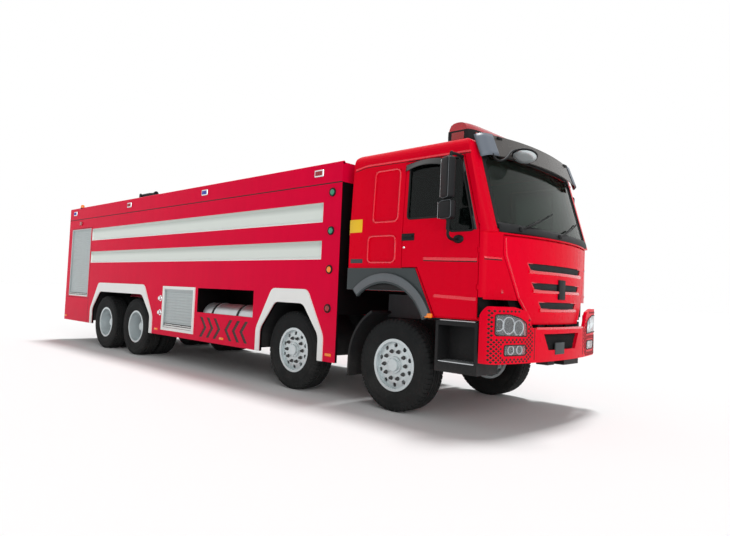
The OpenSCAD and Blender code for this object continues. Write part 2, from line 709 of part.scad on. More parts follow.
// Full depth of the front panel; round it the edge is a thin skin that swings clear of the opening
flap_skin = 10;
flap_margin = 30;
module flap_core() {
  flap_outline(-flap_margin);
  translate([flap_margin - flap_half, flap_shoulder_z])
    square([2 * (flap_half - flap_margin), flap_hinge_z + flap_hinge_r + 3 - flap_shoulder_z]);
}
module front_flap() {
  color("firebrick") difference() {
    intersection() {
      nose_layer(0, flap_t);
      yz(door_front + 1, cab_front + 100) flap_outline(0);
    }
    difference() {
      nose_layer(flap_skin, flap_t + 5);
      yz(door_front, cab_front + 100) flap_core();
    }
    for (s = slots) yz(door_front, cab_front + 100) slot_outline(s, 0);
    flap_notch(run_gap);
  }
}
module grille_mesh() {
  color([0.06, 0.06, 0.06]) for (s = slots) intersection() {
    nose_layer(18, 26);
    yz(door_front, cab_front + 100) slot_outline(s, -seat_gap);
  }
}
// Dark fender plate and wheel flare on each side of the cab
flare_c = [x1 - 100, arch_sill_z - 536];
flare_r = 738;
flare_w = 118;
flare_t = 34;
module ring_sector(c, ro, ri, a0, a1) {
  polygon(concat(arc(c, ro, a0, a1, 20), arc(c, ri, a1, a0, 20)));
}
module cab_flares() {
  color([0.2, 0.21, 0.23]) both() {
    union() {
      xz(cab_y + seat_gap, cab_y + 12) polygon([[cab_rear, arch_sill_z], [cab_rear, fender_z],
        [arch_top_x + 30, fender_z], [arch_foot_x + 15, sill_z + 4], [arch_foot_x, sill_z + 4],
          [arch_top_x, arch_sill_z]]);
      xz(cab_y + seat_gap, cab_y + flare_t) ring_sector(flare_c, flare_r, flare_r - flare_w, 22, 133);
    }
  }
}
// Inside the cab
seat_w = 500;
module seats() {
  color([0.2, 0.2, 0.22]) for (y = [-620, 620]) {
    z = arch_sill_z + wall_t;
    translate([x1, 0, z]) xz(y - seat_w / 2, y + seat_w / 2) polygon([[-330, 0], [150, 0], [170, 330],
      [190, 440],
      [-200, 410], [-330, 1080], [-430, 1060], [-350, 330]]);
  }
}
wheel_at = [cab_front - 755, 620, cowl_z + 40];
module dashboard() {
  color([0.16, 0.16, 0.17]) union() {
    intersection() {
      cab_block(bulkhead_in + bulkhead_t + seat_gap);
      translate([cab_front, 0, cowl_z]) xz(-cab_y, cab_y) polygon([[-495, -320], [0, -320], [0, -4],
        [-445, -4],
        [-525, -120]]);
      box(x1, cab_front, -cab_y + 110, cab_y - 110, 0, far);
    }
    translate(wheel_at) rotate([0, -38, 0]) {
      rotate_extrude() translate([225, 0]) circle(r = 15, $fn = 24);
      for (a = [30, 150, 270]) rotate([0, 0, a]) translate([0, -14, -8]) cube([215, 28, 12]);
      translate([0, 0, -420]) cylinder(h = 425, r = 38);
    }
  }
}
// Roof of the cab
bar_x = x1 + 330;
bar_d = 350;
bar_z = cab_roof_z + 55;
bar_base_h = 165;
bar_h = 280;
module light_bar() {
  color("red") union() {
    translate([bar_x, 0, bar_z]) xz(-light_bar_len / 2, light_bar_len / 2) polygon([[0, 0], [bar_d, 0],
      [bar_d - 6, bar_base_h], [bar_d - 30, bar_base_h + 6], [bar_d - 60, bar_h - 30], [bar_d - 110, bar_h],
      [110, bar_h], [60, bar_h - 30], [30, bar_base_h + 6], [6, bar_base_h]]);
    for (y = [-light_bar_len * 0.36, light_bar_len * 0.36])
      box(bar_x + 60, bar_x + bar_d - 60, y - 60, y + 60, cab_roof_z, bar_z + 10);
  }
}
visor_lean = 22;
visor_h = 255;
visor_t = 12;
visor_r = 160;
visor_wrap = 165;
visor_half = screen_half + 65;
visor_front = cab_front - 240;
visor_low_z = screen_top_z - 12;
visor_arm_y = visor_half - 2 * visor_r;
module visor_leaning(h) {
  translate([visor_front, 0, visor_low_z]) rotate([0, -visor_lean, 0]) translate([-visor_front, 0, 0])
    linear_extrude(h) children();
}
module visor_plan(i) { nose_plan(visor_front, visor_half, screen_bow_r, visor_r, i); }
module sun_visor() {
  color([0.16, 0.14, 0.13]) union() {
    visor_leaning(visor_h) difference() {
      visor_plan(0);
      visor_plan(visor_t);
      translate([visor_front - visor_wrap - far, -far]) square([far, 2 * far]);
    }
    intersection() {
      for (y = [-visor_arm_y, 0, visor_arm_y])
        box(roof_break - 160, cab_front, y - 30, y + 30, cab_roof_z, cab_roof_z + 16);
      visor_leaning(far) visor_plan(visor_t / 2);
    }
  }
}

// Doors' mirrors: arm feet on the door, a tall head and a square wide-angle head
mirror_y = cab_y + 185;
mirror_x = door_front - 260;
mirror_foot_z = cowl_z - 75;
mirror_top_z = door_top_z - 40;
// Heads: [width, height, thickness, lower edge above the cowl, turn in degrees]
tall_head = [165, 435, 100, 325, 24];
square_head = [200, 190, 90, 115, 12];
head_r = 40;
module mirror_head(h) {
  w = h[0] / 2 - head_r;
  high = h[1] - head_r;
  translate([mirror_x - 25, mirror_y, cowl_z + h[3]]) rotate([0, 0, h[4]]) xz(-h[2] / 2, h[2] / 2)
    polygon(concat(arc([-w, head_r], head_r, 180, 270, 4), arc([w, head_r], head_r, 270, 360, 4),
      arc([w, high], head_r, 0, 90, 4), arc([-w, high], head_r, 90, 180, 4)));
}
module mirrors(s) {
  color([0.06, 0.06, 0.07]) mirror([0, s > 0 ? 0 : 1, 0]) union() {
    mirror_head(tall_head);
    mirror_head(square_head);
    rod_z(mirror_x, mirror_y, 16, mirror_foot_z - 10, mirror_top_z + 10);
    rod_y(mirror_x, mirror_foot_z, 16, cab_y + seat_gap, mirror_y + 10);
    rod_y(mirror_x, mirror_foot_z, 40, cab_y + seat_gap, cab_y + 20);
    rod_y(mirror_x, mirror_top_z, 14, side_y(mirror_top_z - 14) + seat_gap, mirror_y + 12);
  }
}

// Bumper with pockets for the lamps; the brackets bear on the frame's front
// Outlines of a head lamp and a fog lamp: [across, above the bumper's underside]
head_lamp = [[735, 277], [1190, 287], [1190, 492], [1000, 492], [850, 460], [750, 410]];
fog_lamp = [[750, 86], [1075, 86], [1075, 186], [750, 186]];
bumper_rear = door_front + 40;
// The bumper's rear upper corner stays inside this radius of the tilt pin, so that the cab swings past it
swing_r = tilt_x - door_front - panel_gap - 10;
// An outline shrunk about its middle, so that a lamp sits in its pocket with the gap g
module lamp_outline(points, g) {
  m = [(points[0][0] + points[1][0]) / 2, (points[0][1] + points[2][1]) / 2];
  w = points[1][0] - points[0][0];
  h = points[2][1] - points[0][1];
  translate([0, bumper_z])
    polygon([for (p = points) [m[0] + (p[0] - m[0]) * (1 - 4 * g / w),
      m[1] + (p[1] - m[1]) * (1 - 4 * g / h)]]);
}
module bumper_layer(a, b) {
  translate([0, 0, bumper_z]) linear_extrude(bumper_corner_z - bumper_z) difference() {
    nose_plan(bumper_front, bumper_w / 2, bumper_bow_r, corner_r + 30, a);
    nose_plan(bumper_front, bumper_w / 2, bumper_bow_r, corner_r + 30, b);
    translate([bumper_rear - far, -far]) square([far, 2 * far]);
  }
}
notch_half = 640;
module bumper_notch() {
  right = [[notch_half, bumper_mid_z], [notch_half + 100, bumper_corner_z - 40], [notch_half + 300,
    bumper_corner_z + 1]];
  polygon(concat([for (k = [2:-1:0]) [-right[k][0], right[k][1]]], right));
}
module swing_room() {
  difference() {
    translate([bumper_rear - 10, tilt_z]) square([tilt_x - bumper_rear + 10, bumper_corner_z]);
    translate([tilt_x, tilt_z]) circle(r = swing_r, $fn = 96);
  }
}
module front_bumper() {
  color("firebrick") union() {
    difference() {
      bumper_layer(0, bumper_t);
      xz(-bumper_w, bumper_w) swing_room();
      yz(door_front - 50, bumper_front + 100) {
        bumper_notch();
        translate([0, bumper_z]) polygon([[-330, 120], [330, 120], [430, 295], [-430, 295]]);
        for (k = [0, 1]) mirror([k, 0]) {
          lamp_outline(head_lamp, 0);
          lamp_outline(fog_lamp, 0);
        }
      }
    }
    both() box(rail_front, bumper_front - bumper_t - 12, rail_y - 90, rail_y, bumper_z + 60,
      bumper_z + 120);
    both() box(bumper_rear + 10, bumper_rear + 70, rail_y, bumper_w / 2 - bumper_t + 2, bumper_z + 60,
      bumper_z + 110);
  }
}
module head_lamps() {
  color([0.85, 0.87, 0.9]) intersection() {
    bumper_layer(6, bumper_t - 4);
    yz(door_front - 50, bumper_front + 100) for (k = [0, 1]) mirror([k, 0]) {
      lamp_outline(head_lamp, seat_gap);
      lamp_outline(fog_lamp, seat_gap);
    }
  }
}
// Steps below the doors, with a foot recess
step_rear = arch_foot_x + 50;
module cab_steps() {
  color([0.07, 0.07, 0.08]) both() union() {
    difference() {
      box(step_rear, door_front, cab_y - 430, cab_y - 20, sill_z - 560, sill_z - 22);
      box(step_rear + 35, door_front - 35, cab_y - 230, cab_y, sill_z - 455, sill_z - 70);
    }
    box(step_rear + 175, step_rear + 355, rail_y, cab_y - 420, rail_z + 80, rail_z + 160);
  }
}

// Wheel arches of the body: [centre, half widths of the outer edge above and below, of the inner edge
// above and below, height of the outer edge, of the inner edge]
arch_knee_z = axle_z + 250;
tandem_half = tandem_gap / 2;
arches = [[x2, 375, 712, 300, 622, axle_z + 830, axle_z + 642],
  [x_tandem, tandem_half + 355, tandem_half + 725, tandem_half + 285, tandem_half + 635, axle_z + 800,
    axle_z + 616]];
arch_bend = 70;
module arch_shape(c, top, knee, top_z, low) {
  p = [[c - knee, low], [c - knee, arch_knee_z], [c - top, top_z], [c + top, top_z], [c + knee,
    arch_knee_z],
    [c + knee, low]];
  polygon(concat([p[0]], bend(p[0], p[1], p[2], arch_bend), bend(p[1], p[2], p[3], arch_bend),
    bend(p[2], p[3], p[4], arch_bend), bend(p[3], p[4], p[5], arch_bend), [p[5]]));
}
liner_t = 16;
liner_y = 560;
guard_r = tyre_d / 2 + 160;
guard_y = 850;
module mudguards() {
  color([0.06, 0.06, 0.06]) both() {
    for (a = arches) xz(liner_y, inner_y) difference() {
      arch_shape(a[0], a[3] + liner_t * 0.4, a[4] + liner_t, a[6] + liner_t, body_bottom_z + 60);
      arch_shape(a[0], a[3], a[4], a[6], 0);
    }
    union() {
      xz(guard_y, cab_y - 20) ring_sector([x1, axle_z], guard_r, guard_r - 30, 118, 176);
      xz(guard_y, cab_y - 20) translate([x1 - guard_r, axle_z]) polygon([[0, -200], [25, -200], [32, 70],
        [2, 70]]);
      rod_y(x1 - guard_r + 22, axle_z + 170, 18, spring_y + spring_w / 2 + seat_gap, guard_y + 10);
      box(x1 - guard_r, x1 - guard_r + 44, rail_y, guard_y + 2, rail_z + 100, rail_z + 140);
    }
  }
}

// Body shell
tank_rear = body_rear + 1350;
tank_front = body_front - panel_t;
deck_t = 30;
module water_tank() {
  color([0.7, 0.1, 0.12]) union() {
    box(tank_rear, tank_front, -inner_y, inner_y, tank_z, parapet_z - deck_t);
    both() box(tank_rear + 20, tank_front - 60, rail_y - rail_flange, rail_y, rail_top_z, tank_z + 5);
  }
}
// Bands along the side: [lower edge, upper edge]
bands = [[parapet_z - 977, parapet_z - 737], [parapet_z - 497, parapet_z - 242]];
band_rear = body_rear + 1330;
band_front = body_front - 333;
// Shutter openings on the side: [rear, front, lower edge, upper edge]
side_shutters = [[body_rear + 205, body_rear + 1250, body_bottom_z + 550, parapet_z - 227],
  [x2 - 3460, x2 - 2480, body_bottom_z + 140, body_bottom_z + 810]];
// Open locker behind the second wheel, and the chevron cut-outs under it
window = [x2 - 2360, x2 - 820, body_bottom_z + 460, body_bottom_z + 850];
chevron_z = [body_bottom_z + 70, body_bottom_z + 390];
chevron_w = 80;
chevron_reach = 132;
chevron_pitch = 200;
chevron_first = x2 - 2250;
chevron_gap = 330;
module chevron(x, dir) {
  m = (chevron_z[0] + chevron_z[1]) / 2;
  polygon([[x, chevron_z[1]], [x + dir * chevron_reach, m], [x, chevron_z[0]], [x + dir * chevron_w,
    chevron_z[0]],
    [x + dir * (chevron_reach + chevron_w), m], [x + dir * chevron_w, chevron_z[1]]]);
}
module body_cuts() {
  for (a = arches) arch_shape(a[0], a[3], a[4], a[6], 0);
  for (s = side_shutters) translate([s[0], s[2]]) square([s[1] - s[0], s[3] - s[2]]);
  translate([window[0], window[2]]) square([window[1] - window[0], window[3] - window[2]]);
  for (k = [0:2]) {
    chevron(chevron_first + k * chevron_pitch, 1);
    chevron(chevron_first + 3 * chevron_pitch + chevron_gap + k * chevron_pitch, -1);
  }
}
lamp_x = body_front - 165;
lamp_low_z = body_bottom_z + 668;
lamp_top_z = parapet_z - 121;
lamp_zs = [for (k = [0:3]) lamp_low_z + k * (lamp_top_z - lamp_low_z) / 3];
lamp_depth = 14;
module body_side() {
  difference() {
    xz(inner_y, body_y) difference() {
      translate([body_rear, body_bottom_z]) square([body_front - body_rear, parapet_z - body_bottom_z]);
      body_cuts();
    }
    for (b = bands) box(band_rear, band_front, body_y - band_depth - 6, body_y + 1, b[0], b[1]);
    for (z = lamp_zs) rod_y(lamp_x, z, side_lamp_d / 2, body_y - lamp_depth, body_y + 1);
  }
}
module body_side_left() { color("firebrick") body_side(); }
module body_side_right() { color("firebrick") mirror([0, 1, 0]) body_side(); }
// Front and rear walls, the pump room's floor and the lockers between the wheels
locker_y = liner_y;
locker_rear = x_tandem + arches[1][4] + liner_t + 40;
locker_front = x2 - arches[0][4] - liner_t - 40;
locker_mid = (side_shutters[1][1] + window[0]) / 2;
rear_door = [-900, 460, rail_top_z + 90, parapet_z - 247];
sheet_t = 24;
module body_walls() {
  color("firebrick") {
    box(tank_front, body_front, -inner_y, inner_y, rail_top_z + 20, parapet_z);
    union() {
      difference() {
        box(body_rear, body_rear + panel_t, -inner_y, inner_y, rail_top_z, parapet_z);
        box(body_rear - 1, body_rear + panel_t + 1, rear_door[0], rear_door[1], rear_door[2], rear_door[3]);
      }
      box(body_rear + 10, tank_rear + 10, -inner_y, inner_y, rail_top_z, rail_top_z + 30);
    }
  }
  color([0.12, 0.1, 0.1]) both() union() {
    box(locker_rear, locker_front, locker_y, locker_y + sheet_t, body_bottom_z + 40, tank_z);
    box(locker_rear, locker_front, locker_y, inner_y, body_bottom_z + 40, body_bottom_z + 40 + sheet_t);
    for (x = [locker_rear, locker_mid - sheet_t / 2, locker_front - sheet_t])
      box(x, x + sheet_t, locker_y, inner_y, body_bottom_z + 40, tank_z);
  }
}
module roof_deck() {
  color([0.55, 0.56, 0.58]) box(body_rear + panel_t, tank_front, -inner_y, inner_y, parapet_z - deck_t,
    parapet_z);
}
module parapets() {
  color("firebrick") difference() {
    box(body_rear, body_front, -body_y, body_y, parapet_z, parapet_top_z);
    box(body_rear + panel_t, body_front - panel_t, -inner_y, inner_y, parapet_z - 1, parapet_top_z + 1);
  }
}
// White dished bands and the frames of the wheel arches and of the small shutter
band_rim = 26;
module band_profile(b) {
  floor_y = body_y - band_depth;
  polygon([[floor_y - 6, b[0]], [body_y, b[0]], [body_y, b[0] + 10], [floor_y, b[0] + 10 + band_rim],
    [floor_y, b[1] - 10 - band_rim], [body_y, b[1] - 10], [body_y, b[1]], [floor_y - 6, b[1]]]);
}
frame_rim = 48;
module white_trim() {
  color("white") both() {
    for (b = bands) union() {
      yz(band_rear, band_front) band_profile(b);
      for (x = [band_rear, band_front - 10]) box(x, x + 10, body_y - band_depth - 6, body_y, b[0], b[1]);
    }
    for (a = arches) xz(body_y, body_y + trim_t) difference() {
      arch_shape(a[0], a[1], a[2], a[5], body_bottom_z);
      arch_shape(a[0], a[3], a[4], a[6], 0);
    }
    s = side_shutters[1];
    xz(body_y, body_y + trim_t) difference() {
      translate([s[0] - frame_rim, s[2] - frame_rim])
        square([s[1] - s[0] + 2 * frame_rim, s[3] - s[2] + 2 * frame_rim]);
      translate([s[0], s[2]]) square([s[1] - s[0], s[3] - s[2]]);
    }
  }
}
// Slatted curtain, drawn as [outwards, up]
slat_t = 14;
slat_bow = 5;
// One slat: [share of the bow, share of the height]
slat_profile = [[0, 0.04], [1, 0.22], [1, 0.78], [0, 0.96]];
module curtain(za, zb) {
  n = floor((zb - za) / slat_h);
  h = (zb - za) / n;
  outer = [for (i = [0:n - 1], p = slat_profile) [slat_t + p[0] * slat_bow, za + h * (i + p[1])]];
  polygon(concat([[0, za], [slat_t, za]], outer, [[slat_t, zb], [0, zb]]));
}
module roller_shutters() {
  color("silver") {
    both() for (s = side_shutters) translate([0, inner_y + 4, 0]) yz(s[0] + seat_gap, s[1] - seat_gap)
      curtain(s[2] + seat_gap, s[3] - seat_gap);
    d = rear_door;
    translate([body_rear + panel_t - 4, 0, 0]) mirror([1, 0, 0]) xz(d[0] + seat_gap, d[1] - seat_gap)
      curtain(d[2] + seat_gap, d[3] - seat_gap);
  }
}
// Lamps of the body: round ones at the front strip, long ones on the parapet, tail lamps behind
parapet_lamp_x = [body_front - 425, body_front - 3220, body_front - 5985, body_front - 8745];
tail_lamp = [300, 120];
module body_lamps() {
  color([0.5, 0.1, 0.1]) {
    both() {
      for (z = lamp_zs) rod_y(lamp_x, z, side_lamp_d / 2 - seat_gap, body_y - lamp_depth, body_y + 12);
      for (x = parapet_lamp_x)
        box(x - 80, x + 80, body_y, body_y + 26, parapet_top_z - 145, parapet_top_z - 65);
      box(body_rear - 40, body_rear, inner_y - tail_lamp[0] - 40, inner_y - 40, rail_top_z + 20,
        rail_top_z + 20 + tail_lamp[1]);
      rod_z(body_rear + 500, inner_y + panel_t / 2, 18, parapet_top_z, parapet_top_z + 70);
    }
  }
}
// Strapped cylinder that shows in the open locker
vessel_r = 215;
vessel_y = 960;
vessel_z = body_bottom_z + 405;
module air_tanks() {
  color("silver") both() union() {
    rod_x(vessel_y, vessel_z, vessel_r, window[0] + 60, window[1] - 60);
    for (x = [window[0] + 330, window[1] - 520]) {
      rod_x(vessel_y, vessel_z, vessel_r + 8, x, x + 60);
      box(x - 10, x + 70, vessel_y - 150, vessel_y + 150, body_bottom_z + 40 + sheet_t, vessel_z - 120);
    }
  }
}
// Ladder on the rear wall and the underrun bar below it
ladder_y = [620, 1000];
stile_r = 20;
rung_gap = 300;
ladder_low_z = rail_z - 40;
underrun_z = axle_z - 80;
module rear_ladder() {
  sx = body_rear - ladder_depth + stile_r;
  color("silver") union() {
    for (y = ladder_y) rod_z(sx, y, stile_r, ladder_low_z, parapet_top_z);
    for (z = [ladder_low_z + 60:rung_gap:parapet_top_z - 60]) rod_y(sx, z, stile_r * 0.75, ladder_y[0],
      ladder_y[1]);
    for (y = ladder_y, z = [rail_top_z + 260, parapet_z - 120]) rod_x(y, z, stile_r * 0.7, sx, body_rear);
  }
  color([0.1, 0.1, 0.11]) union() {
    box(body_rear + 30, body_rear + 125, -body_y + 100, body_y - 100, underrun_z, underrun_z + 120);
    both() box(body_rear + 40, body_rear + 115, rail_y - 60, rail_y, underrun_z + 110, rail_top_z);
    both() box(body_rear + 40, rail_rear - 20, rail_y - 60, rail_y, rail_top_z - 120, rail_top_z);
  }
}

// Fire monitor: pedestal, swivel and barrel
monitor_x = body_rear + monitor_inset;
monitor_z = parapet_z + monitor_h;
swivel_z = monitor_z - 260;
spigot_r = 46;
trunnion_r = 18;
yoke_y = barrel_d / 2 + 16;
module monitor_base() {
  color([0.75, 0.08, 0.1]) union() {
    rod_z(monitor_x, 0, 150, parapet_z, parapet_z + 24);
    rod_z(monitor_x, 0, 74, parapet_z, swivel_z);
    rod_z(monitor_x, 0, spigot_r, swivel_z - 10, swivel_z + 60);
  }
}
module monitor_swivel() {
  color([0.12, 0.12, 0.13]) difference() {
    union() {
      rod_z(monitor_x, 0, 84, swivel_z + seat_gap, swivel_z + 110);
      both() xz(yoke_y, yoke_y + 26) {
        translate([monitor_x, monitor_z]) circle(r = 46);
        translate([monitor_x - 46, swivel_z + 100]) square([92, monitor_z - swivel_z - 100]);
      }
      box(monitor_x - 46, monitor_x + 46, -yoke_y - 26, yoke_y + 26, swivel_z + 80, swivel_z + 124);
    }
    rod_z(monitor_x, 0, spigot_r + run_gap, swivel_z - 20, swivel_z + 62);
    rod_y(monitor_x, monitor_z, trunnion_r + run_gap, -300, 300);
  }
}
module monitor_barrel() {
  color([0.1, 0.1, 0.11]) union() {
    translate([monitor_x, 0, monitor_z]) rotate([0, 90, 0]) rotate_extrude() polygon([[0, -110],
      [barrel_d / 2 - 6, -110], [barrel_d / 2, -60], [barrel_d / 2, barrel_len * 0.5],
      [barrel_d * 0.36, barrel_len * 0.8], [barrel_d * 0.62, barrel_len], [0, barrel_len]]);
    rod_y(monitor_x, monitor_z, trunnion_r, -yoke_y - 24, yoke_y + 24);
  }
}

frame_rails();
front_axles();
rear_axles();
leaf_springs();
prop_shafts();
engine();
front_bumper();
head_lamps();
cab_steps();
mudguards();
water_tank();
body_side_right();
body_side_left();
body_walls();
roof_deck();
parapets();
white_trim();
roller_shutters();
body_lamps();
air_tanks();
rear_ladder();
monitor_base();
monitor_swivel();
monitor_barrel();
cab_shell();
windscreen();
sun_visor();
light_bar();
dashboard();
seats();
cab_flares();
front_flap();
grille_mesh();
door(-1);  // door_right
door(1);  // door_left
door_glass(-1);  // door_glass_right
door_glass(1);  // door_glass_left
mirrors(-1);  // mirrors_right
mirrors(1);  // mirrors_left
knuckle(x1, -1);  // knuckle_1r
knuckle(x1, 1);  // knuckle_1l
knuckle(x2, -1);  // knuckle_2r
knuckle(x2, 1);  // knuckle_2l
steer_tyre(x1, -1);  // tyre_1r
steer_tyre(x1, 1);  // tyre_1l
steer_tyre(x2, -1);  // tyre_2r
steer_tyre(x2, 1);  // tyre_2l
steer_rim(x1, -1);  // rim_1r
steer_rim(x1, 1);  // rim_1l
steer_rim(x2, -1);  // rim_2r
steer_rim(x2, 1);  // rim_2l
twin_tyres(x3, -1);  // tyres_3r
twin_tyres(x3, 1);  // tyres_3l
twin_tyres(x4, -1);  // tyres_4r
twin_tyres(x4, 1);  // tyres_4l
twin_rims(x3, -1);  // rims_3r
twin_rims(x3, 1);  // rims_3l
twin_rims(x4, -1);  // rims_4r
twin_rims(x4, 1);  // rims_4l
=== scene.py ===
# %% [markdown]
# A foam fire truck: a red tilting cab, a long tank body with white bands, and twelve road tyres. The
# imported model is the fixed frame. It is loaded first, and everything else is placed by measuring its
# nodes.

# %% Load the frame
import json
import math
import bmesh
import bpy
import numpy as np
from mathutils import Matrix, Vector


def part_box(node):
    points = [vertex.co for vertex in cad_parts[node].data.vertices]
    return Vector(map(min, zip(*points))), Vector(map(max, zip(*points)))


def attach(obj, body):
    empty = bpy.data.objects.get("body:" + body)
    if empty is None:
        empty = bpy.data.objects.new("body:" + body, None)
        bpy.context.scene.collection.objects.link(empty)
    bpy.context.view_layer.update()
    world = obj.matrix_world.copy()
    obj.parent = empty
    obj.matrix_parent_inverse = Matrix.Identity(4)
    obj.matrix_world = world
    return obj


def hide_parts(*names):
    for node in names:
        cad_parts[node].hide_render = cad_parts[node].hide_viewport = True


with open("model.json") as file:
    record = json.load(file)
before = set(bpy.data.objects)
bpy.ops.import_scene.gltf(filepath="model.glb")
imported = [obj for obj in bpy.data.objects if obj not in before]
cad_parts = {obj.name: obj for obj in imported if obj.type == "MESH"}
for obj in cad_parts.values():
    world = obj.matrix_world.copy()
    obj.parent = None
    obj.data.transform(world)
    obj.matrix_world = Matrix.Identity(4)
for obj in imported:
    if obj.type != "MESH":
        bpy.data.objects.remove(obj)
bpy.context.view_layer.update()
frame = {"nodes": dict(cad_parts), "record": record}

nodes = frame["nodes"]

# %% [markdown]
# Many pieces line up with the same axles, walls and edges. These places could be typed in as numbers.
# They are read from the boxes of the frame's nodes instead, so that they follow the model.

# %% Measure the places that the pieces share
def low(node):
    """Lowest corner of a node as an array."""
    return np.array(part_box(node)[0])


def high(node):
    """Highest corner of a node as an array."""
    return np.array(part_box(node)[1])


def middle(node):
    """Centre of a node's box."""
    return (low(node) + high(node)) / 2


first_x, second_x = middle("tyre_1r")[0], middle("tyre_2r")[0]
body_y = high("body_side_left")[1]
body_rear, body_front = low("parapets")[0], high("parapets")[0]
parapet_z, parapet_top = low("parapets")[2], high("parapets")[2]
cab_y = high("door_left")[1]
cab_rear, cab_front = low("cab_shell")[0], high("front_flap")[0]
print("axles", round(first_x, 3), round(second_x, 3), "half widths", round(body_y, 3), round(cab_y, 3))

# %% [markdown]
# The camera stands low at the right front corner and looks up a little, so the far end runs away quickly.
# A camera could be aimed with a Track To constraint. Here its three axes are written as a matrix, because
# the picture is also rolled by two degrees.

# %% Camera
eye = (8.663, -6.271, 1.336)
azimuth, elevation, roll = (math.radians(a) for a in (43.726, -2.502, 2.442))
picture_w, focal_px = 730, 583.9
back = np.array([math.sin(azimuth) * math.cos(elevation), -math.cos(azimuth) * math.cos(elevation),
                 math.sin(elevation)])
level = np.cross(-back, (0, 0, 1))
level /= np.linalg.norm(level)
upward = np.cross(back, level)
right_axis = math.cos(roll) * level + math.sin(roll) * upward
up_axis = np.cross(back, right_axis)
camera = bpy.data.objects.new("camera", bpy.data.cameras.new("camera"))
camera.data.sensor_width = 36.0
camera.data.lens = camera.data.sensor_width * focal_px / picture_w
camera.data.clip_end = 500.0
turn = np.eye(4)
turn[:3, 0], turn[:3, 1], turn[:3, 2], turn[:3, 3] = right_axis, up_axis, back, eye
camera.matrix_world = Matrix(turn.tolist())
scene = bpy.context.scene
scene.collection.objects.link(camera)
scene.camera = camera
scene.view_settings.view_transform = "Standard"
print("camera at", eye, "lens", round(camera.data.lens, 2))

# %% [markdown]
# Shader nodes are made by one short helper: it sets plain numbers on the sockets and links what is a
# socket. Nodes could be made and linked one by one, but then every finish would take a page.

# %% Shader helpers
def add(tree, kind, inputs=None, **settings):
    """One shader node with its settings, its plain values and its links."""
    made = tree.nodes.new(kind)
    for key, value in settings.items():
        setattr(made, key, value)
    for key, value in (inputs or {}).items():
        if isinstance(value, bpy.types.NodeSocket):
            tree.links.new(value, made.inputs[key])
        else:
            made.inputs[key].default_value = value
    return made


def maths(tree, operation, a, b=0.0, clamp=False):
    """A Math node's result."""
    return add(tree, "ShaderNodeMath", {0: a, 1: b}, operation=operation, use_clamp=clamp).outputs[0]


def blend(tree, share, a, b):
    """Two colours mixed by a share."""
    mixed = add(tree, "ShaderNodeMix", {"Factor": share}, data_type="RGBA")
    for socket, value in ((mixed.inputs[6], a), (mixed.inputs[7], b)):
        if isinstance(value, bpy.types.NodeSocket):
            tree.links.new(value, socket)
        else:
            socket.default_value = value
    return mixed.outputs[2]


def ramp(tree, value, start, end, first=0.0, last=1.0):
    """A value carried smoothly from one range to another, and held at its ends."""
    made = add(tree, "ShaderNodeMapRange", {0: value, 1: start, 2: end, 3: first, 4: last})
    made.interpolation_type = "SMOOTHSTEP"
    return made.outputs[0]


def group(name, inputs, outputs):
    """An empty shader node group, from the defaults of its inputs and the kinds of its outputs."""
    tree = bpy.data.node_groups.new(name, "ShaderNodeTree")
    for key, value in inputs.items():
        kind = "NodeSocketColor" if isinstance(value, tuple) else "NodeSocketFloat"
        tree.interface.new_socket(key, in_out="INPUT", socket_type=kind).default_value = value
    for key, kind in outputs.items():
        tree.interface.new_socket(key, in_out="OUTPUT", socket_type=kind)
    return tree, tree.nodes.new("NodeGroupInput").outputs, tree.nodes.new("NodeGroupOutput").inputs


def use(tree, made, inputs):
    """A node group placed in a material with its own values."""
    placed = tree.nodes.new("ShaderNodeGroup")
    placed.node_tree = made
    for key, value in inputs.items():
        placed.inputs[key].default_value = value
    return placed.outputs


def linear(red, green, blue):
    """A colour written as 0 to 255 on screen, as the shader's linear colour."""
    c = np.array([red, green, blue]) / 255
    c = np.where(c <= 0.04045, c / 12.92, ((c + 0.055) / 1.055) ** 2.4)
    return (*[float(v) for v in c], 1.0)


print("helpers ready; mid grey is", round(linear(128, 128, 128)[0], 3))

# %% [markdown]
# The truck stands on a pale floor under a bright even sky. A paler floor could be had with more light,
# but that would bleach the paint. The sky lights the truck softly, and it shows white only to rays from
# the camera, to reflections and through glass.

# %% Floor and sky
floor_half = 150.0
floor_mesh = bpy.data.meshes.new("floor")
corner = np.array([[-1, -1, 0], [1, -1, 0], [1, 1, 0], [-1, 1, 0]]) * floor_half
floor_mesh.from_pydata(corner.tolist(), [], [(0, 1, 2, 3)])
floor = bpy.data.objects.new("floor", floor_mesh)
scene.collection.objects.link(floor)
ground = bpy.data.materials.new("pale_ground")
ground.use_nodes = True
tree = ground.node_tree
floor_white, floor_rough = 0.86, 0.9
floor_shader = tree.nodes["Principled BSDF"]
floor_shader.inputs["Base Color"].default_value = (floor_white, floor_white, floor_white, 1)
floor_shader.inputs["Roughness"].default_value = floor_rough
floor_mesh.materials.append(ground)

sky_light, sky_white = 0.28, 1.0
sky = bpy.data.worlds.new("studio_sky")
sky.use_nodes = True
scene.world = sky
tree = sky.node_tree
ray = add(tree, "ShaderNodeLightPath").outputs
mirrored_ray = maths(tree, "MAXIMUM", ray["Is Glossy Ray"], ray["Is Transmission Ray"])
seen = maths(tree, "MAXIMUM", ray["Is Camera Ray"], mirrored_ray)
strength = maths(tree, "ADD", sky_light, maths(tree, "MULTIPLY", seen, sky_white - sky_light))
tree.links.new(strength, tree.nodes["Background"].inputs["Strength"])
tree.nodes["Background"].inputs["Color"].default_value = (1, 1, 1, 1)


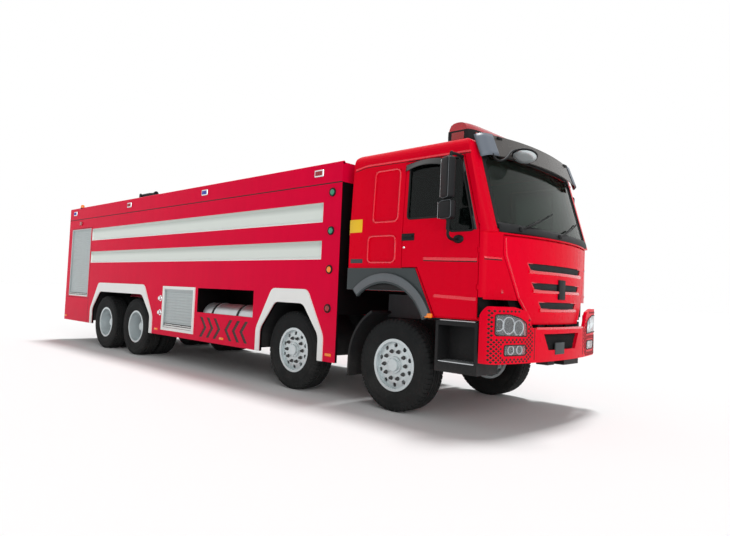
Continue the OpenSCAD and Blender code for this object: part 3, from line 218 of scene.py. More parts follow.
def sun(name, power, spread, toward):
    """A distant lamp that shines along a direction; a wide spread gives a soft shadow."""
    lamp = bpy.data.lights.new(name, "SUN")
    lamp.energy, lamp.angle = power, math.radians(spread)
    placed = bpy.data.objects.new(name, lamp)
    scene.collection.objects.link(placed)
    z = -np.array(toward, float) / np.linalg.norm(toward)
    x = np.cross((0.0, 1.0, 0.1), z)
    x /= np.linalg.norm(x)
    axes = np.eye(4)
    axes[:3, 0], axes[:3, 1], axes[:3, 2] = x, np.cross(z, x), z
    placed.matrix_world = Matrix(axes.tolist())


sun("overhead", 2.4, 12, (0.10, -0.22, -1.0))
sun("side_fill", 1.25, 50, (-0.90, 0.50, -0.35))
print("floor", 2 * floor_half, "m, sky", sky_light)

# %% [markdown]
# Four effects come back in many finishes, so each is a node group built once. The first is road dust,
# which gathers low on the truck and in uneven patches. It could be painted into pictures; noise over the
# truck's own metres needs no unwrapping, and it runs on from one piece to the next.

# %% Road dust
def object_point(tree):
    """Object coordinates, which are the truck's own metres."""
    return add(tree, "ShaderNodeTexCoord").outputs["Object"]


def noise(tree, point, scale, detail=3.0, roughness=0.55):
    """Soft cloudy values."""
    return add(tree, "ShaderNodeTexNoise", {"Vector": point, "Scale": scale, "Detail": detail,
                                            "Roughness": roughness}).outputs[0]


dust_inputs = {"Amount": 0.3, "Low": 0.3, "High": 1.3, "Colour": (0.5, 0.5, 0.5, 1.0), "Fade": 0.06,
               "Rough": 0.3}
dust_outputs = {"Color": "NodeSocketColor", "Roughness": "NodeSocketFloat"}
dust_grey = (0.21, 0.195, 0.18, 1.0)
road_dust, gin, gout = group("road_dust", dust_inputs, dust_outputs)
tree = road_dust
point = object_point(tree)
height = add(tree, "ShaderNodeSeparateXYZ", {0: point}).outputs["Z"]
level_in = add(tree, "ShaderNodeMapRange",
               {0: height, 1: gin["Low"], 2: gin["High"], 3: 1.0, 4: 0.0}).outputs[0]
patch = maths(tree, "MULTIPLY", maths(tree, "POWER", level_in, 1.6),
              ramp(tree, noise(tree, point, 5.0), 0.3, 0.75, 0.35, 1.0))
speck = ramp(tree, noise(tree, point, 60.0, 4.0), 0.45, 0.7)
film = maths(tree, "ADD", maths(tree, "MULTIPLY", patch, 0.75),
             maths(tree, "MULTIPLY", maths(tree, "MULTIPLY", patch, speck), 0.5))
dusty = maths(tree, "MULTIPLY", film, gin["Amount"], clamp=True)
cloud = maths(tree, "MULTIPLY", maths(tree, "SUBTRACT", noise(tree, point, 1.3, 5.0), 0.5), gin["Fade"])
streak_point = add(tree, "ShaderNodeMapping", {"Vector": point, "Scale": (9.0, 9.0, 0.7)}).outputs[0]
streak = maths(tree, "MULTIPLY", maths(tree, "SUBTRACT", noise(tree, streak_point, 1.0, 3.0), 0.5),
               gin["Fade"])
shift = maths(tree, "ADD", 1.0, maths(tree, "ADD", cloud, maths(tree, "MULTIPLY", streak, 0.8)))
faded = add(tree, "ShaderNodeVectorMath", {0: gin["Colour"], "Scale": shift},
            operation="SCALE").outputs[0]
tree.links.new(blend(tree, dusty, faded, dust_grey), gout["Color"])
smear = maths(tree, "MULTIPLY", maths(tree, "SUBTRACT", noise(tree, point, 11.0, 5.0), 0.45), 0.16)
smeared = maths(tree, "ADD", gin["Rough"], smear)
dulled = maths(tree, "ADD", smeared, maths(tree, "MULTIPLY", dusty, 0.45), clamp=True)
tree.links.new(dulled, gout["Roughness"])
print("road dust has", len(road_dust.nodes), "nodes")

# %% [markdown]
# Paint skin is the faint orange peel and waviness of sprayed sheet metal. Moulded grain is the fine
# leathery bump of plastic, and brushing is a scratch pattern drawn out along one direction. All three are
# heights for a Bump node, because modelled relief as fine as this would take millions of faces.

# %% Paint skin, moulded grain and brushing
paint_skin, gin, gout = group("paint_skin", {"Peel": 0.3, "Wave": 0.6}, {"Height": "NodeSocketFloat"})
tree = paint_skin
point = object_point(tree)
peel = maths(tree, "MULTIPLY", noise(tree, point, 420.0, 2.0), gin["Peel"])
wave = maths(tree, "MULTIPLY", noise(tree, point, 2.6, 2.0), gin["Wave"])
tree.links.new(maths(tree, "ADD", peel, wave), gout["Height"])

moulded_grain, gin, gout = group("moulded_grain", {"Scale": 300.0, "Depth": 0.5},
                                 {"Height": "NodeSocketFloat"})
tree = moulded_grain
point = object_point(tree)
cells = add(tree, "ShaderNodeTexVoronoi", {"Vector": point, "Scale": gin["Scale"], "Randomness": 1.0})
cells.feature = "SMOOTH_F1"
soft = noise(tree, point, 40.0, 4.0)
tree.links.new(maths(tree, "MULTIPLY", maths(tree, "ADD", cells.outputs["Distance"], soft), gin["Depth"]),
               gout["Height"])

brushing, gin, gout = group("brushing", {"Along X": 1.0, "Along Y": 1.0, "Along Z": 1.0, "Depth": 0.3},
                            {"Height": "NodeSocketFloat"})
tree = brushing
stretch = add(tree, "ShaderNodeCombineXYZ",
              {0: gin["Along X"], 1: gin["Along Y"], 2: gin["Along Z"]}).outputs[0]
drawn = add(tree, "ShaderNodeVectorMath", {0: object_point(tree), 1: stretch},
            operation="MULTIPLY").outputs[0]
tree.links.new(maths(tree, "MULTIPLY", noise(tree, drawn, 1.0, 4.0), gin["Depth"]), gout["Height"])
print("effects", [g.name for g in bpy.data.node_groups])

# %% [markdown]
# Every finish is a Principled shader. Colour and roughness come from the dust group, and the bump comes
# from the one skin that suits the material. A finish could be a single flat colour, but then a ten metre
# side would look like card.

# %% How a finish is made
finishes = {}


def finish(name, colour, rough, dust=0.25, fade=0.10, skin=None, values=None, bump=(0.1, 0.001),
           metallic=0.0, coat=0.0, specular=0.5):
    """A material: the dust group gives colour and roughness, and one skin group gives the bump."""
    made = bpy.data.materials.new(name)
    made.use_nodes = True
    tree = made.node_tree
    shader = tree.nodes["Principled BSDF"]
    top = use(tree, road_dust, {"Amount": dust, "Colour": colour, "Fade": fade, "Rough": rough})
    tree.links.new(top["Color"], shader.inputs["Base Color"])
    tree.links.new(top["Roughness"], shader.inputs["Roughness"])
    for socket, value in (("Metallic", metallic), ("Coat Weight", coat), ("Coat Roughness", 0.06),
                          ("Specular IOR Level", specular)):
        shader.inputs[socket].default_value = value
    if skin:
        raised = use(tree, skin, values)
        bumped = add(tree, "ShaderNodeBump", {"Strength": bump[0], "Distance": bump[1],
                                              "Height": raised["Height"]})
        tree.links.new(bumped.outputs[0], shader.inputs["Normal"])
    finishes[name] = made
    return made


print("a finish starts with", [g.name for g in (road_dust, paint_skin)])

# %% [markdown]
# Sprayed paints. The cab, the nose and the body are three slightly different reds; the nose's brighter red
# is painted light, and where it edges the cab's sides it is a painted highlight. The reds have little
# gloss, because a white sky in a strong gloss would turn them pink; only raised edges are left shiny.

# %% Paints
peel = {"Peel": 0.25, "Wave": 1.0}
red_coat = {"dust": 0.10, "fade": 0.12, "skin": paint_skin, "values": peel, "bump": (0.25, 0.004),
            "specular": 0.04}
edge_coat = {**red_coat, "dust": 0.05, "coat": 0.9, "specular": 0.3}
white_coat = {"fade": 0.05, "skin": paint_skin, "values": peel, "bump": (0.2, 0.003), "coat": 0.1,
              "specular": 0.3}
# The nose's brighter red is painted light.
body_red, cab_red, lit_front_red = linear(226, 3, 58), linear(226, 2, 37), linear(236, 0, 40)
finish("red_paint", body_red, 0.32, **red_coat)
finish("front_paint", lit_front_red, 0.28, **red_coat)
finish("edge_paint", lit_front_red, 0.25, **edge_coat)
finish("white_paint", linear(236, 238, 236), 0.32, 0.2, **white_coat)
finish("black_steel", linear(26, 27, 29), 0.6, 0.3, 0.5, paint_skin, peel, (0.3, 0.003), specular=0.18)
print("paints", sorted(finishes))

# %% [markdown]
# Moulded things: plastics, rubber, tyres and seat cloth share the fine grain at different sizes. Their
# colours are dark, so the grain and the dust are what keeps them from looking like holes.

# %% Plastics, rubber and cloth
grain = {"Scale": 260.0, "Depth": 0.6}
shallow, fine = (0.3, 0.0015), (0.15, 0.001)
finish("tyre", linear(26, 28, 29), 0.8, 0.10, 0.5, moulded_grain, {"Scale": 500.0, "Depth": 0.4},
       (0.3, 0.002), specular=0.15)
finish("black_plastic", linear(22, 23, 25), 0.5, 0.2, 0.4, moulded_grain, grain, shallow, specular=0.18)
finish("grey_plastic", linear(54, 61, 63), 0.5, 0.15, 0.25, moulded_grain, grain, shallow, specular=0.35)
finish("visor_plastic", linear(62, 58, 55), 0.25, 0.1, 0.25, moulded_grain, grain, (0.08, 0.001),
       specular=0.4)
finish("smoked", linear(26, 28, 28), 0.16, 0.05, 0.2, moulded_grain, grain, (0.05, 0.001), coat=0.2)
finish("rubber", linear(16, 16, 17), 0.65, 0.1, 0.3, moulded_grain, grain, (0.2, 0.001), specular=0.3)
finish("flare_grey", linear(92, 98, 102), 0.45, 0.15, 0.25, moulded_grain, grain, shallow)
finish("cap_grey", linear(98, 106, 117), 0.4, 0.05, 0.15, moulded_grain, grain, fine)
# Painted shade: the dark colour laid behind the chevron cut-outs.
finish("cutout_shade", linear(50, 28, 30), 0.6, 0.1, 0.4, moulded_grain, grain, (0.2, 0.001))
finish("yellow_sheet", linear(244, 196, 22), 0.4, 0.1, 0.1, moulded_grain, grain, fine)
finish("seat_cloth", linear(54, 56, 62), 0.9, 0.0, 0.4, moulded_grain, {"Scale": 700.0, "Depth": 0.6},
       (0.5, 0.002))
print("finishes so far", len(finishes))

# %% [markdown]
# Metals: cast and painted iron, the silver of the wheels, and brushed aluminium on shutters and treads.
# Brushed sheet could carry a picture of scratches; here a noise is drawn out along the rolling direction.

# %% Metals
cast = {"Scale": 90.0, "Depth": 1.0}
slat_brush = {"Along X": 6.0, "Along Y": 6.0, "Along Z": 900.0, "Depth": 0.5}
tread_brush = {"Along X": 500.0, "Along Y": 40.0, "Along Z": 40.0, "Depth": 0.5}
deck_brush = {"Along X": 30.0, "Along Y": 700.0, "Along Z": 700.0, "Depth": 0.4}
finish("engine_grey", linear(92, 97, 100), 0.55, 0.4, 0.4, moulded_grain, cast, (0.4, 0.003))
finish("cast_iron", linear(44, 45, 47), 0.6, 0.35, 0.5, moulded_grain, cast, (0.5, 0.004))
finish("wheel_silver", linear(204, 213, 215), 0.3, 0.16, 0.25, paint_skin, peel, (0.2, 0.002), 0.45,
       specular=0.4)
finish("shutter_alu", linear(172, 180, 181), 0.42, 0.10, 0.12, brushing, slat_brush, (0.3, 0.001), 0.55)
finish("silver_steel", linear(200, 204, 206), 0.34, 0.2, 0.2, brushing, tread_brush, (0.25, 0.001), 0.8)
finish("deck_plate", linear(150, 153, 156), 0.45, 0.0, 0.25, brushing, deck_brush, (0.3, 0.001), 0.7)
finish("chrome", linear(225, 228, 230), 0.14, 0.05, 0.1, paint_skin, peel, (0.05, 0.001), 1.0)
finish("reflector", linear(238, 241, 243), 0.2, 0.02, 0.1, paint_skin, peel, (0.05, 0.001), 0.55)
print("finishes so far", len(finishes))

# %% [markdown]
# Lamp lenses and panes. A lens is coloured plastic with a pimpled face, and it glows a little, as if the
# shade behind it were lit. A pane is smooth tinted glass. Its bending of light is set low, so that the
# white sky does not wash out the dark cab behind it.

# %% Finishes that light passes through
def lens(name, colour, rough=0.08, through=0.0, glow=0.0):
    """A glossy lamp lens; a little of its own colour glows so that it does not go black in the shade."""
    pimples = {"Scale": 140.0, "Depth": 0.8}
    made = finish(name, colour, rough, 0.08, 0.12, moulded_grain, pimples, (0.35, 0.003), coat=0.2)
    shader = made.node_tree.nodes["Principled BSDF"]
    shader.inputs["Transmission Weight"].default_value = through
    shader.inputs["Emission Color"].default_value = colour
    shader.inputs["Emission Strength"].default_value = glow


def clear_glass(name, colour, rough, through, bend):
    """A smooth pane that passes most of the light, tinted by its colour."""
    shader = finish(name, colour, rough, 0.08, 0.12).node_tree.nodes["Principled BSDF"]
    shader.inputs["Transmission Weight"].default_value = through
    shader.inputs["IOR"].default_value = bend


lens("lamp_lens", linear(150, 14, 18), glow=0.05)
lens("beacon_lens", linear(196, 16, 40), through=0.3, glow=0.05)
lens("amber_lens", linear(238, 128, 18), glow=0.15)
lens("green_lens", linear(38, 138, 104), glow=0.1)
lens("blue_lens", linear(28, 48, 160), glow=0.1)
clear_glass("lamp_glass", linear(244, 248, 250), 0.03, 0.92, 1.25)
clear_glass("glass", linear(102, 120, 108), 0.02, 0.94, 1.21)
clear_glass("side_glass", linear(58, 72, 69), 0.02, 0.94, 1.24)
print("lenses and panes", sorted(k for k in finishes if "lens" in k or "glass" in k))

# %% [markdown]
# Some nodes show two looks, because one solid has a painted outside and a bare or lined inside, or because
# part of it is painted shade. Faces could be picked out by hand; here the material asks where a point
# lies, and lays a second colour over the first there.

# %% Second looks
# Painted shade: this black is laid in recesses, on cut edges and on hidden faces.
shade_black = linear(17, 15, 16)


def place_in(tree):
    """X, Y and Z of the shaded point in the truck's own metres."""
    return add(tree, "ShaderNodeSeparateXYZ", {0: object_point(tree)}).outputs[:3]


def all_of(tree, tests):
    """One where every comparison holds and nought elsewhere: the comparisons' product."""
    held = 1.0
    for operation, value, limit in tests:
        held = maths(tree, "MULTIPLY", held, maths(tree, operation, value, float(limit)))
    return held


def second_look(made, share, colour):
    """Another colour over a finish, by a share of nought to one."""
    base = made.node_tree.nodes["Principled BSDF"].inputs["Base Color"]
    first_colour = base.links[0].from_socket
    made.node_tree.links.new(blend(made.node_tree, share, first_colour, colour), base)


print("second looks start with", [round(c, 4) for c in shade_black[:3]])

# %% [markdown]
# The cab's steel is red outside and lined with grey plastic inside: what lies inside the drawn-in side
# walls, below the roof, behind the screen and above the floor is lining. Deep in the gap above the
# bumper's corners it is painted black, which is painted shade.

# %% Cab paint with its inner lining
cab_paint = finish("cab_paint", cab_red, 0.28, **red_coat)
tree = cab_paint.node_tree
x, y, z = place_in(tree)
belt_z, tumble, screen_slope, wall_middle = 2.05, 0.0409, 0.306, 0.022
rise = maths(tree, "MAXIMUM", maths(tree, "SUBTRACT", z, belt_z), 0.0)
out_y = maths(tree, "ADD", maths(tree, "ABSOLUTE", y), maths(tree, "MULTIPLY", rise, tumble))
front_x = maths(tree, "ADD", x, maths(tree, "MULTIPLY", rise, screen_slope))
lining_top, lining_foot, lining_front = high("cab_shell")[2] - 0.07, 1.40, first_x + 1.13
inside = all_of(tree, [("LESS_THAN", out_y, cab_y - wall_middle), ("LESS_THAN", z, lining_top),
                       ("GREATER_THAN", z, lining_foot), ("GREATER_THAN", x, cab_rear + wall_middle),
                       ("LESS_THAN", front_x, lining_front)])
second_look(cab_paint, inside, linear(58, 60, 64))
panel_bow, corner_sill, skin_depth, corner_rear = 3.0, 1.349, 0.022, first_x + 1.15
set_back = maths(tree, "MULTIPLY", maths(tree, "MULTIPLY", y, y), 1 / (2 * panel_bow))
# Painted shade: black deep in the gap above the bumper's corners.
in_gap = all_of(tree, [("LESS_THAN", z, corner_sill), ("GREATER_THAN", x, corner_rear),
                       ("LESS_THAN", maths(tree, "ADD", x, set_back), cab_front - skin_depth)])
second_look(cab_paint, in_gap, shade_black)
rough = tree.nodes["Principled BSDF"].inputs["Roughness"]
rougher = maths(tree, "MULTIPLY", inside, 0.4)
tree.links.new(maths(tree, "ADD", rough.links[0].from_socket, rougher, clamp=True), rough)
print("cab lining starts", wall_middle, "m inside the skin")

# %% [markdown]
# The white bands are dished. Their floor is painted greyer than the rim and darkest under the upper edge:
# this is painted shade and reflection, so the colour follows the depth behind the side plane and the
# height in the band.

# %% Dished bands
band_paint = finish("band_paint", linear(240, 242, 240), 0.32, 0.15, **white_coat)
tree = band_paint.node_tree
y, z = place_in(tree)[1:]
rim_depth, dish_depth = 0.0185, 0.0215
# Painted shade and reflection: a greyer floor inside the dish.
dish_floor_shade = ramp(tree, maths(tree, "ABSOLUTE", y), body_y - dish_depth, body_y - rim_depth, 1.0, 0.0)
# Painted shade: darkest under each band's upper edge.
lower_band = maths(tree, "LESS_THAN", z, parapet_z - 0.60)
lower_shade = maths(tree, "MULTIPLY", lower_band, ramp(tree, z, parapet_z - 0.85, parapet_z - 0.77))
shaded = maths(tree, "MAXIMUM", lower_shade, ramp(tree, z, parapet_z - 0.36, parapet_z - 0.275))
dish_shade_colour = blend(tree, shaded, linear(226, 234, 228), linear(192, 201, 195))
second_look(band_paint, maths(tree, "MAXIMUM", dish_floor_shade, shaded), dish_shade_colour)
print("bands are dished from", rim_depth, "to", dish_depth, "m")

# %% [markdown]
# The side sheets are painted black on their cut edges and hidden faces, which is painted shade. The inner
# walls are red at the back, where they show round the rear shutter, and painted black in the lockers as
# painted shade.

# %% Side sheets and inner walls
side_paint = finish("side_paint", body_red, 0.32, **red_coat)
tree = side_paint.node_tree
out_y = maths(tree, "ABSOLUTE", place_in(tree)[1])
# Painted shade: black on the side sheets' cut edges and hidden faces.
second_look(side_paint, ramp(tree, out_y, body_y - 0.006, body_y - 0.003, 1.0, 0.0), shade_black)
wall_paint = finish("wall_paint", body_red, 0.4, **red_coat)
tree = wall_paint.node_tree
# Painted shade: black on the inner walls inside the lockers.
second_look(wall_paint, ramp(tree, place_in(tree)[0], body_rear + 0.06, body_rear + 0.07), shade_black)
print("two-look finishes", [m.name for m in (cab_paint, band_paint, side_paint, wall_paint)])

# %% [markdown]
# The record names a material slot for every node, and most nodes take the finish of that name. A few need
# a finish of their own: two looks, the brighter red of the nose, which is painted light, or the darker
# door glass.

# %% Give every node its finish
slot_of = {row["node"]: row["material_slot"] for row in frame["record"]["subparts"]}
own_finish = {"cab_shell": "cab_paint", "door_right": "cab_paint", "door_left": "cab_paint",
              "front_flap": "front_paint", "front_bumper": "front_paint", "white_trim": "band_paint",
              "body_walls": "wall_paint", "body_side_right": "side_paint", "body_side_left": "side_paint",
              "door_glass_right": "side_glass", "door_glass_left": "side_glass"}
for name, node in nodes.items():
    node.data.materials.clear()
    node.data.materials.append(finishes[own_finish.get(name, slot_of[name])])
print("finished nodes", len(nodes))

# %% [markdown]
# New pieces are grids of points worked out with numpy. A shape here is a pair: its points, and lists of
# faces that name those points by number. Primitives could be stretched into place instead, but a formula
# keeps each size in view.

# %% Shapes from grids
def grid_faces(rows, cols, wrap_rows=False, wrap_cols=False):
    """Squares of a grid, each from a point to its next row and column, round the seam where it wraps."""
    i, j = np.meshgrid(np.arange(rows - (not wrap_rows)), np.arange(cols - (not wrap_cols)),
                       indexing="ij")
    i2, j2 = (i + 1) % rows, (j + 1) % cols
    return np.stack([i * cols + j, i2 * cols + j, i2 * cols + j2, i * cols + j2], -1).reshape(-1, 4)


def surface(points, wrap_rows=False, wrap_cols=False, caps=False):
    """A grid of points (rows, columns, 3) as a shape; caps close the first and the last row."""
    rows, cols = points.shape[:2]
    faces = [grid_faces(rows, cols, wrap_rows, wrap_cols)]
    if caps:
        faces.append(np.stack([np.arange(cols)[::-1], np.arange(cols) + (rows - 1) * cols]))
    return points.reshape(-1, 3), faces


def joined(*shapes):
    """Several shapes as one: the face numbers of each move on by the points before it."""
    starts = np.cumsum([0] + [len(s[0]) for s in shapes])
    return np.concatenate([s[0] for s in shapes]), [f + k for s, k in zip(shapes, starts) for f in s[1]]


def repeated(shape, offsets):
    """One shape at many places: every point plus every offset."""
    points, faces = shape
    moved = (np.asarray(offsets, float)[:, None, :] + points[None]).reshape(-1, 3)
    step = (np.arange(len(offsets)) * len(points))[:, None, None]
    return moved, [(f[None] + step).reshape(-1, f.shape[1]) for f in faces]


def placed(shape, axes, origin=(0, 0, 0)):
    """A shape turned so that its x, y and z run along three directions, then moved to an origin."""
    return shape[0] @ np.array(axes, float) + np.array(origin, float), shape[1]


def mirrored(shape):
    """The same shape on the other side: y changes its sign, and the faces turn to point outwards."""
    return shape[0] * (1, -1, 1), [f[:, ::-1] for f in shape[1]]


def both_sides(shape):
    """A shape together with its mirror image."""
    return joined(shape, mirrored(shape))


print("one grid of 3 by 4 points has", len(grid_faces(3, 4)), "faces")

# %% [markdown]
# Lamps, nuts and caps are turned parts, and most boxes on a truck have rounded edges. Both could be
# primitives with modifiers. As formulas they join into one piece with their neighbours.

# %% Turned and rounded shapes
def lathe(profile, sides=32, origin=(0, 0, 0), axis=(0, 0, 1)):
    """A profile of [radius, height] turned once round an axis; a radius of nought closes to a pole."""
    r, h = np.array(profile, float).T
    a = np.arange(sides) * 2 * np.pi / sides
    points = np.stack([r[:, None] * np.cos(a), r[:, None] * np.sin(a),
                       np.broadcast_to(h[:, None], (len(r), sides))], -1)
    z = np.array(axis, float) / np.linalg.norm(axis)
    x = np.cross((0.31, 0.93, 0.19), z)
    x /= np.linalg.norm(x)
    return placed(surface(points, wrap_cols=True), (x, np.cross(z, x), z), origin)


def rounded_block(size, radius, steps=4):
    """A box with round edges: a ball is cut in eight, and each eighth moves out to its own corner."""
    half = np.maximum(np.array(size, float) / 2 - radius, 0.0)
    quarter = np.linspace(0, np.pi / 2, steps + 1)
    turn = (np.arange(4)[:, None] * np.pi / 2 + quarter).ravel()
    lift = np.concatenate([quarter - np.pi / 2, quarter])
    sx = np.repeat([1, -1, -1, 1], steps + 1)
    sy = np.repeat([1, 1, -1, -1], steps + 1)
    sz = np.repeat([-1, 1], steps + 1)
    x = radius * np.cos(lift)[:, None] * np.cos(turn) + half[0] * sx
    y = radius * np.cos(lift)[:, None] * np.sin(turn) + half[1] * sy
    z = np.broadcast_to((radius * np.sin(lift) + half[2] * sz)[:, None], x.shape)
    return surface(np.stack([x, y, z], -1), wrap_cols=True, caps=True)


def block(low_corner, high_corner, radius):
    """A rounded block between two corners."""
    a, b = np.minimum(low_corner, high_corner), np.maximum(low_corner, high_corner)
    return repeated(rounded_block(b - a, radius), [(a + b) / 2])


print("a rounded block has", len(rounded_block((1, 1, 1), 0.1)[0]), "points")

# %% [markdown]
# Seals, tubes, beads and seams are one cross-section carried along a path. Curve objects would do this
# too, but their ends and seams would have to be turned into meshes first.

# %% Shapes along a path
def smooth_path(corners, count=40, closed=False):
    """Points along a cubic curve through the corners: its slope at a corner is half the step between
    the two neighbours."""
    c = np.array(corners, float)
    n = len(c) if closed else len(c) - 1
    t = np.linspace(0, n, count, endpoint=not closed)
    k = np.minimum(t.astype(int), n - 1)
    f = (t - k)[:, None]
    pick = (lambda i: c[i % len(c)]) if closed else (lambda i: c[np.clip(i, 0, len(c) - 1)])
    p0, p1, p2, p3 = pick(k - 1), pick(k), pick(k + 1), pick(k + 2)
    return 0.5 * (2 * p1 + (p2 - p0) * f + (2 * p0 - 5 * p1 + 4 * p2 - p3) * f ** 2
                  + (3 * p1 - p0 - 3 * p2 + p3) * f ** 3)


def swept(path, profile, up=(0, 0, 1), closed=False):
    """A profile of [sideways, upwards] carried along a path; sideways is square to the path and to up."""
    p = np.array(path, float)
    along = np.roll(p, -1, 0) - np.roll(p, 1, 0) if closed else np.gradient(p, axis=0)
    along /= np.linalg.norm(along, axis=1)[:, None]
    side = np.cross(along, np.array(up, float))
    side /= np.linalg.norm(side, axis=1)[:, None]
    lift = np.cross(side, along)
    q = np.array(profile, float)
    points = p[:, None] + q[None, :, :1] * side[:, None] + q[None, :, 1:] * lift[:, None]
    return surface(points, wrap_rows=closed, wrap_cols=True, caps=not closed)


def ring(radius, sides=10):
    """A round profile for tubes and beads."""
    a = np.arange(sides) * 2 * np.pi / sides
    return radius * np.stack([np.cos(a), np.sin(a)], -1)


def tube(path, radius, sides=10, up=(0, 0, 1), closed=False):
    """A round bar along a path."""
    return swept(path, ring(radius, sides), up, closed)


def flat_line(wide, proud):
    """A thin flat cross-section for joint lines, sunk by a millimetre and standing a little proud."""
    return [(-wide / 2, -0.001), (wide / 2, -0.001), (wide / 2, proud), (-wide / 2, proud)]


print("a tube of 2 rows has", len(tube(np.eye(3)[:2], 0.1)[0]), "points")

# %% [markdown]
# One function makes every piece: it merges seams, turns the faces outwards, gives the finish, and says
# which moving body the piece rides on. A modifier gives sheets their thickness, so that their shape can
# be a single skin.

# %% How a piece is put in
sides_of = (("right", -1), ("left", 1))
trim_sheet = 0.002


def put(name, shape, body, finish_name, sharp=35, sheet=0.0, sheet_side=0.0):
    """A shape as a finished piece: seams merged, faces outwards, its finish, and the body it rides."""
    points, faces = shape
    mesh = bpy.data.meshes.new(name)
    mesh.from_pydata(points.tolist(), [], [f for block_of in faces for f in block_of.tolist()])
    work = bmesh.new()
    work.from_mesh(mesh)
    bmesh.ops.remove_doubles(work, verts=work.verts, dist=2e-5)
    bmesh.ops.dissolve_degenerate(work, edges=work.edges, dist=1e-5)
    bmesh.ops.recalc_face_normals(work, faces=work.faces)
    work.to_mesh(mesh)
    work.free()
    mesh.shade_smooth()
    mesh.set_sharp_from_angle(angle=math.radians(sharp))
    piece = bpy.data.objects.new(name, mesh)
    scene.collection.objects.link(piece)
    mesh.materials.append(finishes[finish_name])
    if sheet:
        gauge = piece.modifiers.new("gauge", "SOLIDIFY")
        gauge.thickness, gauge.offset = sheet, sheet_side
    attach(piece, body)
    print(name, "faces", len(mesh.polygons), "on", body)
    return piece


def on_side(shape, s):
    """A shape drawn on the left, or its mirror image for the right."""
    return shape if s > 0 else mirrored(shape)


# %% [markdown]
# Road tyres: the solid ring of the frame has the outline, and this piece adds the tread. One point of the
# grid is given by its angle round the wheel and its place across the profile, and the radius sinks where
# a groove runs. Four grooves run round the tyre, and cross cuts split the shoulders into blocks. Modelled
# blocks would cost ten times the faces.

# %% Tyres with tread
tyre_r = middle("tyre_1r")[2]
tyre_w = high("tyre_1r")[1] - low("tyre_1r")[1]
bead_r = 0.2805
lugs, cut_share = 56, 0.24
tread_half = tyre_w * 0.42
groove_depth = 0.013


def tyre(centre):
    """Radius over angle and width. Across, half a profile runs from bead to crown through the sidewall's
    belly, and the other half mirrors it. A groove is a dip of fixed depth between two places across; a
    cut is a dip between two angles."""
    side_r = np.array([bead_r, bead_r + 0.012, bead_r + 0.034, bead_r + 0.055, bead_r + 0.060,
                       bead_r + 0.075, 0.395, 0.430, 0.434, 0.446, 0.450, tyre_r - 0.052,
                       tyre_r - 0.030, tyre_r - 0.010])
    side_w = np.array([0.118, 0.124, 0.126, 0.134, 0.1365, 0.139, 0.1485, 0.1495, 0.1475, 0.1475, 0.1495,
                       0.1455, 0.1375, 0.1285])
    edges = np.array([0.1185, 0.112, 0.072, 0.068, 0.060, 0.056, 0.026, 0.022, 0.014, 0.010, 0.0])
    dips = np.array([0, 0, 0, 1, 1, 0, 0, 1, 1, 0, 0])
    crown = tyre_r - 0.004 * (edges / tread_half) ** 2 - groove_depth * dips
    half_w = np.concatenate([side_w, edges])
    half_r = np.concatenate([side_r, crown])
    shoulder = np.concatenate([np.zeros(len(side_r) - 3), [0.35, 0.8, 1.0],
                               np.where(edges > 0.070, 1.0, 0.0)])
    across = np.concatenate([half_w, -half_w[-2::-1]])
    radius = np.concatenate([half_r, half_r[-2::-1]])
    cut = np.concatenate([shoulder, shoulder[-2::-1]])
    phase = np.array([0.0, 0.03, cut_share - 0.03, cut_share])
    angle = ((np.arange(lugs)[:, None] + phase) * 2 * np.pi / lugs).ravel()
    down = np.tile([0.0, 1.0, 1.0, 0.0], lugs)
    turned = angle[:, None] + np.where(across > 0, 0.0, np.pi / lugs) * (np.abs(across) > 0.07)
    r = radius - groove_depth * down[:, None] * cut
    points = np.stack([r * np.sin(turned), np.broadcast_to(across, r.shape), r * np.cos(turned)], -1)
    return repeated(surface(points, wrap_rows=True), [centre])


for axle in "12":
    for side in "rl":
        name = "tyre_" + axle + side
        tread = put("tread_" + axle + side, tyre(middle(name)), "wheel_" + axle + side, "tyre", sharp=40)
        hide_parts(name)
for axle in "34":
    for side in "rl":
        name = "tyres_" + axle + side
        reach = (high(name)[1] - low(name)[1] - tyre_w) / 2
        pair = joined(*[tyre(middle(name) + (0, k * reach, 0)) for k in (-1, 1)])
        tread = put("tread_" + axle + side, pair, "wheel_" + axle + side, "tyre", sharp=40)
        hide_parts(name)

# %% [markdown]
# Wheel nuts: ten flanged hexagon nuts hold each wheel, with a stud end in each, and a ring of small bolts
# closes the hub cap. One nut is a profile turned with six sides; the rest are copies at equal angles.

# %% Wheel nuts and hub bolts
def round_the_axle(shape, count, radius, start=0.0):
    """Copies of a shape that stands on the y axis, set at equal angles round the axle."""
    a = start + np.arange(count) * 2 * np.pi / count
    return repeated(shape, np.stack([radius * np.sin(a), np.zeros(count), radius * np.cos(a)], -1))


def nut(size, height, out):
    """A flange, six flat sides, a chamfer, and the end of the stud."""
    r, h = size / 2, height
    flange = [[0, 0], [r * 1.35, 0], [r * 1.35, h * 0.16], [r * 1.05, h * 0.3], [0, h * 0.3]]
    flats = [[r * 1.08, h * 0.2], [r * 1.08, h * 0.86], [r * 0.9, h], [0, h]]
    stud = [[r * 0.55, h * 0.9], [r * 0.55, h * 1.35], [r * 0.45, h * 1.45], [0, h * 1.45]]
    turned = ((flange, 18), (flats, 6), (stud, 10))
    return joined(*[lathe(rows, sides, axis=(0, out, 0)) for rows, sides in turned])


